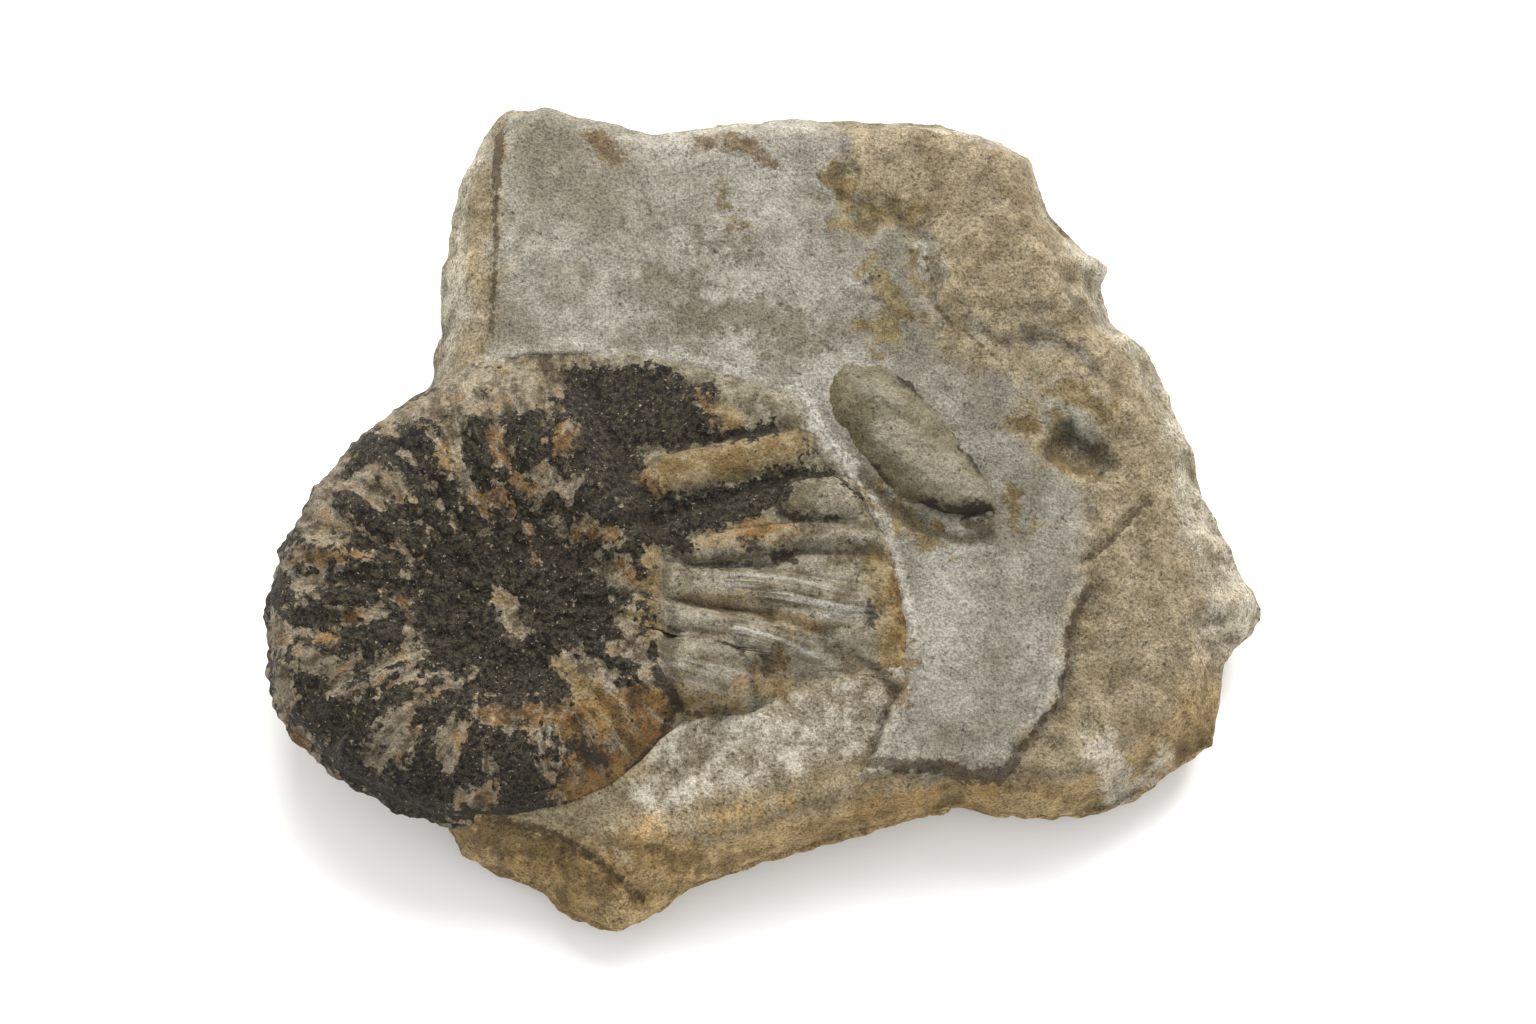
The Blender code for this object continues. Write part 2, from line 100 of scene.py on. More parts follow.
# Flakes that have come off the face and left a rough, shallow scar.
FLAKED = [
    ([(10.6, 43.5), (12.5, 38.5)], 2.0), ([(12.5, 38.0), (17.5, 37.5)], 1.4),
    ([(14.5, 29.0), (17.5, 24.5)], 1.6), ([(-22.0, 49.0), (-20.0, 47.0)], 1.3),
    ([(-8.5, 48.0), (-3.0, 48.0), (0.5, 46.0)], 1.0)]
# Marks on the slab as strokes of a line and half its width.
# Of the olive marks, the stroke beside the lower left side of the second fossil is painted shade; the rest
# are olive stains.
OLIVE_AND_SHADE_MARKS = [
    ([(9.0, 43.2), (10.8, 38.2)], 1.8), ([(11.0, 38.0), (18.5, 37.6)], 1.4),
    ([(14.2, 30.0), (17.4, 25.0), (14.6, 22.0)], 1.9), ([(-5.5, 41.0), (-3.5, 37.5)], 0.5),
    ([(33.0, 10.6), (37.0, 9.8)], 1.5), ([(37.5, 5.2), (42.0, 4.0)], 1.0),
    ([(13.8, 1.0), (18.5, -3.6), (22.0, -5.2)], 1.5), ([(31.5, 0.2), (33.5, -3.6)], 0.7),
    ([(38.5, 15.0), (44.0, 12.0)], 1.6), ([(20.0, 34.0), (20.5, 28.0)], 0.5)]
RUST_MARKS = [
    ([(36.6, 7.6), (38.2, 5.2), (41.8, 4.2)], 1.0), ([(-22.0, 49.0), (-19.5, 46.5)], 1.5),
    ([(-8.5, 48.4), (-2.0, 48.0), (0.5, 46.2)], 1.1), ([(-20.0, -43.5), (-8.0, -46.5)], 1.2),
    ([(18.3, -20.5), (18.0, -22.8), (16.9, -25.6)], 0.9),
    ([(-35.0, -42.0), (-28.0, -43.5), (-20.0, -49.0)], 1.6)]
OCHRE_MARKS = [
    ([(-14.4, -43.6), (-11.2, -45.4)], 2.6), ([(-20.0, -46.5), (-25.0, -50.0)], 1.6),
    ([(28.0, -37.2), (12.0, -38.8)], 1.2), ([(-32.0, -45.5), (-24.0, -46.5)], 1.4),
    ([(2.0, -38.8), (-6.0, -41.0)], 1.2)]
SMUDGES = [
    ([(-15.0, 30.0), (-9.0, 29.6)], 0.9), ([(-10.0, 24.0), (-2.0, 25.0), (4.0, 22.5)], 2.4),
    ([(-8.0, 35.0), (-2.0, 33.0)], 1.2), ([(34.0, 24.5), (38.0, 26.5), (42.0, 27.0)], 0.8),
    ([(0.0, 20.5), (8.0, 21.0)], 1.4)]
# The shaded side of the pit, and of the gap below the second fossil.
DEEP = [
    ([(38.4, 9.4), (41.6, 7.8), (43.6, 5.6)], 1.2), ([(14.6, 0.8), (18.4, -2.9), (21.5, -4.3)], 0.6),
    ([(20.0, -4.2), (24.0, -5.2), (28.0, -5.4)], 0.3)]
# Dark lines: cracks and a limonite edge, and painted shadow under the steps where one sheet of bedding
# stands above another.
DARK_LINES = [
    ([(13.5, -34.2), (18.0, -34.5), (22.0, -34.6), (26.0, -35.4), (30.0, -35.5), (31.5, -34.0)], 0.75),
    ([(-34.8, 50.0), (-35.2, 43.5), (-35.0, 33.0), (-35.4, 22.0)], 0.35),
    ([(-34.8, 50.0), (-35.2, 42.5)], 0.7),
    ([(41.2, -12.0), (38.6, -16.5), (38.3, -22.0), (36.4, -27.0), (32.0, -32.5)], 0.3),
    ([(41.4, -11.0), (38.8, -16.5)], 0.5),
    ([(-37.5, -39.5), (-31.0, -41.5), (-26.0, -42.5), (-21.0, -46.0), (-15.5, -49.8)], 0.35),
    ([(50.0, 0.5), (46.5, -2.5), (44.0, -5.5), (41.0, -7.5)], 0.3),
    ([(16.6, -25.5), (15.2, -28.0), (13.6, -33.0)], 0.2),
    ([(20.7, 33.4), (22.2, 25.3), (27.9, 20.6), (32.8, 21.6), (38.5, 21.2), (41.4, 19.4)], 0.22)]
# White lime that fills the gap round the shell. Where half its width is below 0, only its frayed edge shows.
SEALED = [
    ([(-42.8, 13.4), (-38.4, 17.4), (-33.8, 19.4), (-26.2, 19.9), (-14.7, 19.7), (-7.0, 18.2)], -0.3),
    ([(-7.0, 18.2), (-0.4, 16.8), (4.4, 14.6)], -0.2),
    ([(5.4, 14.6), (5.9, 11.1), (7.9, 7.5), (11.4, 3.8)], 0.9),
    ([(11.4, 3.8), (13.7, 1.1), (15.7, -3.4)], 0.2),
    ([(15.7, -3.4), (17.9, -11.7), (19.2, -18.3)], -0.1)]
# Where the lower tan layer is bleached grey.
GREYER = [
    ([(-10.0, -32.0), (0.0, -31.5), (11.0, -28.0)], 5.0), ([(-15.0, -38.0), (-6.0, -35.8)], 2.2)]
# A thin tan veil on the grey sheet.
VEILED = [([(23.5, 22.5), (32.0, 18.4), (41.0, 16.5)], 2.6), ([(33.0, 10.8), (36.4, 8.6)], 1.7)]
# Broad light and dark parts of the stone: where, how wide, and by what share.
BROAD = [
    ((-24.0, 38.0), 15, 0.15), ((-38.5, 34.0), 5, 0.25), ((-14.0, -46.0), 7, 0.34),
    ((30.0, 6.0), 9, -0.05), ((16.0, 41.0), 6, 0.02), ((-6.0, -40.0), 10, 0.12),
    ((25.0, -12.0), 9, 0.04), ((12.0, -39.0), 9, 0.08), ((0.0, 20.5), 6, 0.1), ((22.0, -14.0), 5, 0.08),
    ((46.0, -34.0), 6, 0.1)]
PALE_CHIPS = [
    ([(-40.8, 31.0), (-39.4, 26.0)], 1.7), ([(-8.5, 51.0), (-2.0, 52.0)], 0.8),
    ([(20.0, 52.0), (31.0, 49.5)], 0.9), ([(41.0, 35.0), (44.5, 32.0)], 1.2),
    ([(42.5, -32.0), (45.5, -36.0)], 2.2), ([(48.0, -34.5), (51.0, -31.5)], 0.8),
    ([(61.0, -9.0), (62.5, -11.5)], 1.0)]


def nearest_on(points, line):
    """Distance from each point to a broken line, and the place on it, counted in the line's points."""
    start = line[:-1]
    run = line[1:] - start
    away = points[:, None] - start
    share = np.clip((away * run).sum(2) / (run ** 2).sum(1), 0, 1)
    gaps = np.linalg.norm(away - share[..., None] * run, axis=2)
    nearest = gaps.argmin(1)
    rows = np.arange(len(points))
    return gaps[rows, nearest], nearest + share[rows, nearest]


def to_line(points, line):
    """nearest_on for any number of points, a block at a time."""
    line = np.asarray(line, float)[:, :2]
    blocks = np.array_split(points, len(points) // 20000 + 1)
    return tuple(np.concatenate(part) for part in zip(*(nearest_on(block, line) for block in blocks)))


def inside(points, ring):
    """True for each point that lies inside a closed ring."""
    x, y = points.T
    within = np.zeros(len(points), bool)
    for (x0, y0), (x1, y1) in zip(ring[:, :2], np.roll(ring[:, :2], -1, axis=0)):
        if y0 != y1:
            within ^= ((y0 > y) != (y1 > y)) & (x < x0 + (y - y0) * (x1 - x0) / (y1 - y0))
    return within


def depth_in(points, ring):
    """How far each point is inside a closed ring, less than 0 outside, and the nearest place on it."""
    gap, place = to_line(points, np.vstack([ring, ring[:1]]))
    return np.where(inside(points, ring), gap, -gap), place


def ramp(value, width):
    """From 0 to 1, smoothly, as a value goes from half a width below 0 to half a width above it."""
    share = np.clip(value / width + 0.5, 0, 1)
    return share * share * (3 - 2 * share)


def swell(points, line, half_width):
    """1 along a line, fading to nothing over about its half width."""
    return np.exp(-(to_line(points, line)[0] / half_width) ** 2)


def strokes(points, marks):
    """How far each point is inside the nearest stroke of a mark, less than 0 outside."""
    return np.max([half_width - to_line(points, line)[0] for line, half_width in marks], axis=0)


def lumps(points, size, octaves=3):
    """Natural unevenness between about -1 and 1, with lumps of a given size."""
    return np.array([noise.fractal(Vector(point), 1.0, 2.0, octaves) for point in points / size])


def chips(points, size):
    """Shallow scoops with sharp crests between them, from 0 on a crest to about 1 in a scoop."""
    return np.array([1 - noise.voronoi(Vector(point))[0][0] for point in points / size])


def round_coil(points):
    """Bearing from the middle of the coil in degrees, and the distance from it, for each point."""
    away = points - COIL
    bearing = np.degrees(np.arctan2(away[:, 1], away[:, 0]))
    return (bearing - FIRST_BEARING) % 360 + FIRST_BEARING, np.linalg.norm(away, axis=1)


def inset(points):
    """How far each point is inside the shell's outline, in millimetres."""
    bearing = np.arange(0, 360, COIL_STEP) + FIRST_BEARING + 0.5
    turned = np.radians(bearing)
    ring = COIL + np.c_[np.cos(turned), np.sin(turned)] * np.interp(bearing, *REACH.T)[:, None]
    return np.clip(depth_in(points, ring)[0], 0, None)


def ground_height(flat):
    """Height of the slab's upper face over each point as if no shell lay in it, down to its broken rim."""
    level = np.c_[flat, np.zeros(len(flat))]
    tan = ramp(depth_in(flat, TAN_SHEET)[0] + 1.5 * lumps(level, 5), 5.0)
    crisp = np.interp(flat[:, 1], (-15, -5), (0.8, 5.0))
    grey = ramp(depth_in(flat, GREY_SHEET)[0] + 1.1 * lumps(level + 9, 3, 4), crisp)
    height = FACE - SHEET_STEP * (1 - np.maximum(grey, tan)) + TAN_RISE * tan
    height += UNEVEN * lumps(level, 13)
    height += (0.14 + 0.2 * (1 - grey)) * lumps(level + 5, 3.2, 5) + 0.09 * lumps(level + 15, 1.0, 4)
    flaked = ramp(strokes(flat, FLAKED) + lumps(level, 2.5, 4), 0.5)
    height -= FLAKE_DEEP * flaked * (0.6 + lumps(level + 2, 1.6, 3))
    for line, half_width, depth in HOLLOWS:
        height -= depth * swell(flat + 0.5 * lumps(level + 8, 2.5)[:, None], line, half_width)
    wander = 0.9 * np.c_[lumps(level + 31, 5), lumps(level + 47, 5)]
    depth, place = depth_in(flat + wander, RIM)
    steps = np.arange(len(RIM) + 1)
    rim, width = (np.interp(place, steps, np.append(RIM[:, k], RIM[0, k])) for k in (2, 3))
    share = np.clip(depth / width, 0, 1)
    broken = BROKEN * lumps(level + (0, 0, 40), 8) * np.sqrt(share) * (1 - share)
    scooped = 0.9 * (chips(level + 3, 5.5) - 0.5) * (1 - share) * ramp(depth - 0.6, 1.2)
    pitted = 0.3 * lumps(level + 61, 1.8, 4) * (1 - share)
    return rim + (height - rim) * (1 - (1 - share) ** 2.1) + broken - scooped + pitted


def face_height(flat):
    """The same with the bed of the ammonite cut into it."""
    height = ground_height(flat)
    return height + (BED - height) * ramp(inset(flat) - BED_INSET, BED_STEEP)


def places(mesh):
    """The places of a mesh's points, in millimetres."""
    flat = np.empty(len(mesh.vertices) * 3, np.float32)
    mesh.vertices.foreach_get("co", flat)
    return flat.reshape(-1, 3).astype(float) / MM


def put(mesh, points):
    """Moves a mesh's points to these places, in millimetres."""
    mesh.vertices.foreach_set("co", (points * MM).astype(np.float32).ravel())
    mesh.update()


def note(mesh, name, values):
    """Stores one number, or one triple of numbers, for each point of a mesh."""
    kind, slot = ("FLOAT", "value") if values.ndim == 1 else ("FLOAT_VECTOR", "vector")
    mesh.attributes.new(name, kind, "POINT").data.foreach_set(slot, values.astype(np.float32).ravel())


def hollowness(mesh, rounds):
    """How far each point lies below the evened surface round it, in millimetres."""
    points = places(mesh)
    ends = np.empty(len(mesh.edges) * 2, np.int32)
    mesh.edges.foreach_get("vertices", ends)
    one, other = ends.reshape(-1, 2).T
    count = np.bincount(ends, minlength=len(points))
    even = points
    for _ in range(rounds):
        total = [
            np.bincount(one, even[other, k], len(points)) + np.bincount(other, even[one, k], len(points))
            for k in range(3)]
        even = np.stack(total, 1) / count[:, None]
    normals = np.empty(len(points) * 3, np.float32)
    mesh.vertices.foreach_get("normal", normals)
    return ((even - points) * normals.reshape(-1, 3)).sum(1)


def finish_with(piece, kind, **settings):
    """Adds one modifier to a piece and applies it."""
    bpy.context.view_layer.objects.active = piece
    modifier = piece.modifiers.new(kind.lower(), kind)
    for name, value in settings.items():
        setattr(modifier, name, value)
    bpy.ops.object.modifier_apply(modifier=modifier.name)


def upright(name, outline, foot, rim, grain):
    """A solid with upright sides on an outline, from its foot to its rim, remeshed in even grains."""
    bpy.ops.object.select_all(action="DESELECT")
    bpy.ops.mesh.primitive_circle_add(vertices=len(outline), radius=0.01, fill_type="NGON")
    solid = bpy.context.object
    solid.name = name
    put(solid.data, np.c_[outline, np.full(len(outline), foot)])
    bpy.ops.object.mode_set(mode="EDIT")
    bpy.ops.mesh.select_all(action="SELECT")
    bpy.ops.mesh.extrude_region_move(TRANSFORM_OT_translate={"value": (0, 0, (rim - foot) * MM)})
    bpy.ops.mesh.select_all(action="SELECT")
    bpy.ops.mesh.normals_make_consistent(inside=False)
    bpy.ops.object.mode_set(mode="OBJECT")
    finish_with(solid, "REMESH", mode="VOXEL", voxel_size=grain * MM)
    return solid


slab = upright("slab_stone", RIM[::-1, :2], 0.0, FACE, SLAB_GRAIN)
points = places(slab.data)
level = np.clip(points[:, 2] / FACE, 0, 1)
level[level < 0.02] = 0
foot = 1 - FOOT_TAPER * (1 - level) ** 2
around = points[:, :2] / np.linalg.norm(points[:, :2] + 1e-6, axis=1)[:, None]
near_side = ramp(3.0 - depth_in(points[:, :2], RIM)[0], 3.0) * ramp(level * (1 - level) - 0.04, 0.1)
ledge = 0.9 * lumps(points * (1, 1, 2.2) / 7, 1) + 0.7 * lumps(points / (26, 26, 2.6), 1, 2)
ledge += 0.5 * (chips(points + 60, 4.5) - 0.5) + 0.25 * lumps(points, 1.6)
shaped = np.c_[points[:, :2] * foot[:, None] + around * (ledge * near_side)[:, None], level]
shaped[:, 2] *= face_height(points[:, :2])
put(slab.data, shaped)
finish_with(slab, "DECIMATE", ratio=min(1, SLAB_TRIANGLES / (2 * len(slab.data.polygons))))
bpy.ops.object.shade_smooth()

points = places(slab.data)
flat = points[:, :2]
below = 2.5 * (FACE - points[:, 2] - 2.6)
under = 0.8 * np.clip(face_height(flat) - points[:, 2] - 1.0, 0, None)
in_grey = depth_in(flat, GREY_SHEET)[0]
lightness = 1 + sum(
    change * np.exp(-((flat - middle) ** 2).sum(1) / wide ** 2) for middle, wide, change in BROAD)
in_tan = [-in_grey, depth_in(flat, TAN_SHEET)[0], below, strokes(flat, VEILED)]
note(slab.data, "tan", np.max(in_tan, 0))
for name, marks in (
        ("olive", OLIVE_AND_SHADE_MARKS), ("rust", RUST_MARKS), ("ochre", OCHRE_MARKS), ("smudge", SMUDGES),
        ("line", DARK_LINES), ("pale", PALE_CHIPS), ("lime", SEALED), ("bleached", GREYER), ("deep", DEEP)):
    note(slab.data, name, strokes(flat, marks) - under)
note(slab.data, "broad", lightness)
note(slab.data, "low", FACE - points[:, 2])
note(slab.data, "near", -20 - flat[:, 1])
# How hollow each point lies, for the painted shade in hollows and the painted highlight on crests.
note(slab.data, "hollow", hollowness(slab.data, 6))


def wire(tree, kind, inputs=None, **settings):
    """Adds a shader node with its settings. Each input takes a value, or the socket that feeds it."""
    node = tree.nodes.new("ShaderNode" + kind)
    for name, value in settings.items():
        setattr(node, name, value)
    for name, value in (inputs or {}).items():
        if isinstance(value, bpy.types.NodeSocket):
            tree.links.new(value, node.inputs[name])
        else:
            node.inputs[name].default_value = value
    return node


def reckon(tree, operation, first, second):
    """One step of arithmetic."""
    return wire(tree, "Math", {0: first, 1: second}, operation=operation).outputs[0]


def times(tree, first, second):
    """One value multiplied by another."""
    return reckon(tree, "MULTIPLY", first, second)


def blend(tree, share, first, second, kind="MIX"):
    """Two colours mixed by a share."""
    return wire(tree, "Mix", {0: share, 6: first, 7: second}, data_type="RGBA", blend_type=kind).outputs[2]


def fade(tree, value, low, high, start=0.0, end=1.0):
    """A value between low and high, turned into a smooth one between start and end."""
    inputs = {0: value, 1: low, 2: high, 3: start, 4: end}
    return wire(tree, "MapRange", inputs, interpolation_type="SMOOTHSTEP").outputs[0]


def speckle(tree, where, size, detail, rough=0.5):
    """Noise between 0 and 1 with grains of a given size in millimetres."""
    inputs = {"Vector": where, "Scale": 1 / (size * MM), "Detail": detail, "Roughness": rough}
    return wire(tree, "TexNoise", inputs).outputs[0]


def noted(tree, name):
    """A number stored on the mesh."""
    return wire(tree, "Attribute", attribute_name=name).outputs["Fac"]


def tone(red, green, blue):
    """A stone's own colour from its look in daylight, 0 to 255, less the brightness of the light on it."""
    seen = np.array((red, green, blue)) / 255
    linear = np.where(seen < 0.04045, seen / 12.92, ((seen + 0.055) / 1.055) ** 2.4)
    return (*(linear * STONE_GAIN), 1.0)


def mottled(tree, patches, dark, light, low=0.36, high=0.64):
    """Two tones, each given as it looks in daylight, in patches of noise."""
    return blend(tree, fade(tree, patches, low, high), tone(*dark), tone(*light))


# Frayed edge: the irregular border of a layer, stain or crust, from how deep a point lies in it.
frayed_edge = bpy.data.node_groups.new("frayed_edge", "ShaderNodeTree")
for name, kind in (
        ("Depth", "Float"), ("Fray", "Float"), ("Soft", "Float"), ("Scale", "Float"), ("Vector", "Vector")):
    frayed_edge.interface.new_socket(name, in_out="INPUT", socket_type="NodeSocket" + kind)
frayed_edge.interface.new_socket("Mask", in_out="OUTPUT", socket_type="NodeSocketFloat")
given = frayed_edge.nodes.new("NodeGroupInput").outputs
ragged = wire(frayed_edge, "TexNoise", {
    "Vector": given["Vector"], "Scale": given["Scale"], "Detail": 6.0, "Roughness": 0.62}).outputs[0]
ragged = times(frayed_edge, reckon(frayed_edge, "SUBTRACT", ragged, 0.5), given["Fray"])
deep = reckon(frayed_edge, "ADD", given["Depth"], times(frayed_edge, ragged, 4.0))
half = times(frayed_edge, given["Soft"], 0.5)
mask = fade(frayed_edge, deep, times(frayed_edge, half, -1.0), half)
frayed_edge.links.new(mask, frayed_edge.nodes.new("NodeGroupOutput").inputs["Mask"])

# Stone grain: the salt and pepper of fine limestone, as a shade round 1, and its height.
stone_grain = bpy.data.node_groups.new("stone_grain", "ShaderNodeTree")
for name, kind in (("Contrast", "Float"), ("Flecks", "Float"), ("Vector", "Vector")):
    stone_grain.interface.new_socket(name, in_out="INPUT", socket_type="NodeSocket" + kind)
for name in ("Shade", "Height"):
    stone_grain.interface.new_socket(name, in_out="OUTPUT", socket_type="NodeSocketFloat")
given = stone_grain.nodes.new("NodeGroupInput").outputs
fine = speckle(stone_grain, given["Vector"], 0.36, 3.0, 0.75)
coarse = speckle(stone_grain, given["Vector"], 2.2, 5.0, 0.65)
both = reckon(stone_grain, "ADD", times(stone_grain, fine, 0.7), times(stone_grain, coarse, 0.3))
swing = times(stone_grain, reckon(stone_grain, "SUBTRACT", both, 0.5), given["Contrast"])
flecks = fade(stone_grain, speckle(stone_grain, given["Vector"], 0.7, 2.0), 0.62, 0.70)
flecks = times(stone_grain, flecks, given["Flecks"])
shade = reckon(stone_grain, "SUBTRACT", reckon(stone_grain, "ADD", swing, 1.0), flecks)
leaving = stone_grain.nodes.new("NodeGroupOutput")
stone_grain.links.new(shade, leaving.inputs["Shade"])
stone_grain.links.new(both, leaving.inputs["Height"])


def frayed(tree, where, depth, fray, soft, size):
    """The share of a layer or stain at each point, with a ragged border."""
    inputs = {"Depth": depth, "Fray": fray, "Soft": soft, "Scale": 1 / (size * MM), "Vector": where}
    return wire(tree, "Group", inputs, node_tree=frayed_edge).outputs["Mask"]


def stained(tree, where, colour, mark, edge, dye, share=1.0):
    """A colour with one of the mesh's marks laid on it. Its edge is how frayed, how soft and how coarse."""
    cover = frayed(tree, where, noted(tree, mark), *edge)
    return blend(tree, times(tree, cover, share), colour, dye)


def grained(tree, where, contrast, flecks):
    """The shade and the height of stone grain at each point."""
    inputs = {"Contrast": contrast, "Flecks": flecks, "Vector": where}
    outputs = wire(tree, "Group", inputs, node_tree=stone_grain).outputs
    return outputs["Shade"], outputs["Height"]


def surfaced(tree, shader, colour, shade, height):
    """Gives a shader its colour, under the shade of the grain, and its relief."""
    tree.links.new(blend(tree, 1.0, colour, shade, "MULTIPLY"), shader.inputs["Base Color"])
    bump = wire(tree, "Bump", {"Strength": 1.0, "Distance": GRAIN_RELIEF * MM, "Height": height})
    tree.links.new(bump.outputs[0], shader.inputs["Normal"])


def stone(name, rough):
    """A dull stone material, its shader, and its object coordinates."""
    material = bpy.data.materials.new(name)
    material.use_nodes = True
    shader = material.node_tree.nodes["Principled BSDF"]
    shader.inputs["Roughness"].default_value = rough
    shader.inputs["Specular IOR Level"].default_value = 0.25
    return material, shader, wire(material.node_tree, "TexCoord").outputs["Object"]


marl, shader, where = stone("marly_limestone", 0.92)
tree = marl.node_tree
broad = speckle(tree, where, 13, 7.0, 0.7)
middle = speckle(tree, where, 4.5, 6.0, 0.7)
grey = mottled(tree, broad, (136, 130, 114), (178, 173, 160))
tan = mottled(tree, middle, (140, 125, 96), (172, 158, 131))
bleached = mottled(tree, middle, (144, 132, 109), (190, 182, 164))
side = mottled(tree, middle, (146, 121, 80), (198, 172, 125))
far_side = mottled(tree, middle, (157, 146, 120), (210, 201, 180))
olive = mottled(tree, middle, (112, 92, 52), (150, 134, 92), 0.42, 0.58)
side = blend(tree, fade(tree, noted(tree, "near"), -7.0, 7.0), far_side, side)
tan = blend(tree, fade(tree, noted(tree, "low"), 2.2, 5.2), tan, side)
tan = stained(tree, where, tan, "bleached", (1.8, 3.0, 4), bleached)
colour = stained(tree, where, grey, "tan", (3.0, 3.4, 4), tan)
# The dark lines are partly painted shadow under the sheets' steps, the deep marks are painted shade, and one
# olive stroke is painted shade beside the second fossil.
for mark, edge, dye, share in (
        ("ochre", (2.6, 2.4, 2.5), tone(180, 148, 92), 0.6),
        ("olive", (3.4, 1.6, 2.5), olive, 0.8),
        ("smudge", (3.4, 2.5, 2), tone(116, 109, 90), 0.7),
        ("rust", (2.4, 1.4, 1.6), tone(118, 95, 60), 0.75),
        ("pale", (1.8, 2.4, 2), tone(206, 197, 177), 0.85),
        ("line", (0.6, 0.35, 1.0), tone(80, 66, 48), 0.8),
        ("deep", (1.6, 1.6, 1.6), tone(86, 82, 66), 0.8),
        ("lime", (1.4, 1.6, 1.2), tone(210, 206, 195), 0.65)):
    colour = stained(tree, where, colour, mark, edge, dye, share)
peppered = fade(tree, speckle(tree, where, 0.6, 4.0, 0.7), 0.53, 0.62, 0, 0.65)
peppered = times(tree, peppered, fade(tree, noted(tree, "tan"), -0.5, 1.0))
colour = blend(tree, peppered, colour, tone(96, 82, 56))
salted = fade(tree, speckle(tree, where, 2.2, 6.0, 0.75), 0.48, 0.60, 0, 0.6)
salted = times(tree, salted, fade(tree, noted(tree, "bleached"), -1.0, 1.5))
colour = blend(tree, salted, colour, tone(204, 198, 182))
colour = blend(tree, 1.0, colour, noted(tree, "broad"), "MULTIPLY")
# Painted shade darkens the hollows of the surface, and a painted highlight lightens its crests.
colour = blend(tree, fade(tree, noted(tree, "hollow"), 0.02, 0.20, 0, 0.5), colour, tone(94, 82, 60))
crest = fade(tree, noted(tree, "hollow"), -0.02, -0.18, 1.0, 1.22)
colour = blend(tree, 1.0, colour, crest, "MULTIPLY")
surfaced(tree, shader, colour, *grained(tree, where, 4.2, 0.35))
slab.data.materials.append(marl)
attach(slab, "root")
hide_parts("matrix_slab")

# The ammonite: a ribbed and keeled shell turned to stone, lying on its flank in its bed. Its coil keeps a
# rough blackish crust over tan and rusty stone, and its last half whorl, the living chamber, has lost its
# shell and shows the smooth grey mould inside, with folds where the ribs ran and a silky grain.
SHELL_FOOT = 8.0
SHELL_RIM = 19.8
FLANK_RISE = 2.6
RIB_RISE = 1.4
RIBS = 24
RIB_LEAN = 3.0
RIB_END = 0.35
INNER_WHORLS = 0.4
SHOULDER = 0.55
EDGE_ROUND = 0.94
FREE_DROP = 1.8
COIL_LIFT = 1.2
CHAMBER_LIFT = 0.3
CHAMBER_SWELL = 0.6
KEEL_WIDE = 0.07
KEEL_TALL = 0.4
FURROW_OFF = 0.17
FURROW_WIDE = 0.08
WELD = 0.01
CRUST_THICK = 0.3
CRUST_ROUGH = 0.34
LAP = np.array([
    (-8.5, 7.5), (-2, 3.5), (8, 2.2), (316, 2.2), (324, 0.8), (337, 0.8), (342, 4.5), (346, 7.5),
    (351.5, 7.5)])
AROUND = 720
UP_FLANK = 92
DOWN_SIDE = 16
COIL_REACH = np.array(
    [(-8.5, 23.4), (40, 22.0), (60, 25.0), (76, 30.5)] + [tuple(row) for row in REACH if 90 < row[0] < 320]
    + [(332, 24.4), (351.5, 23.4)])
SEAM = np.array([
    (-8.5, 10.8), (45, 11.4), (90, 12.3), (135, 12.5), (180, 12.0), (225, 11.4), (270, 10.6),
    (320, 10.3), (351.5, 10.8)])
FREE = np.array([(-8.5, 0), (95, 0), (125, 1), (255, 1), (285, 0.3), (320, 0.2), (335, 0), (351.5, 0)])
SIDE = np.array([
    (0.0, EDGE_ROUND, SHELL_RIM), (0.25, 0.985, 17.0), (0.5, 1.0, 13.5), (0.75, 0.985, 10.5),
    (1.0, 0.95, SHELL_FOOT)])
CHAMBER = np.array([
    (-11.0, -27.0), (-12.5, -20.0), (-13.0, -13.0), (-13.5, -8.0), (-15.5, -2.0), (-18.0, 4.0),
    (-21.0, 10.0), (-23.0, 16.0), (-23.0, 24.0), (40.0, 24.0), (40.0, -32.0), (-11.0, -32.0)])
# Folds of the living chamber, and the furrows between them: a line, half its width, and its rise or depth.
FOLDS = [
    ([(-13.4, 2.6), (-7.5, 4.3), (-2.7, 5.5), (3.7, 6.7)], 2.7, 1.7),
    ([(-6.0, 12.2), (2.0, 11.4)], 4.2, 0.9), ([(4.6, 0.1), (10.2, 0.3)], 2.9, 1.6),
    ([(-8.9, -6.7), (-3.2, -6.0), (4.5, -5.1), (14.0, -5.4)], 1.9, 1.3),
    ([(-16.0, -10.8), (1.9, -12.3), (12.0, -14.0)], 2.7, 1.4),
    ([(4.0, -15.4), (13.0, -17.6)], 3.0, 0.9),
    ([(-15.5, -14.2), (-9.5, -15.9), (-0.4, -18.6), (6.0, -20.9)], 2.0, 1.6),
    ([(-9.0, -22.2), (-4.8, -22.8)], 5.0, 2.7), ([(-2.5, -24.5), (3.5, -24.5)], 2.0, 0.9)]
FURROWS = [
    ([(-20.0, 5.2), (-14.0, 6.6), (-6.0, 7.9), (2.5, 9.4)], 1.1, 0.8),
    ([(-21.0, -7.5), (-13.5, -3.0), (-8.5, -0.9), (-0.5, 1.4), (5.0, 3.2), (9.0, 3.4), (13.0, 0.6),
      (15.5, -3.6)], 1.1, 1.0),
    ([(-10.1, -9.1), (1.0, -8.6), (4.5, -6.9), (12.9, -6.6)], 0.6, 0.7),
    ([(-10.5, -13.6), (-1.8, -14.9), (8.3, -18.1)], 0.6, 0.5),
    ([(-3.5, -19.6), (-1.6, -22.4), (3.0, -23.0)], 0.8, 0.8)]
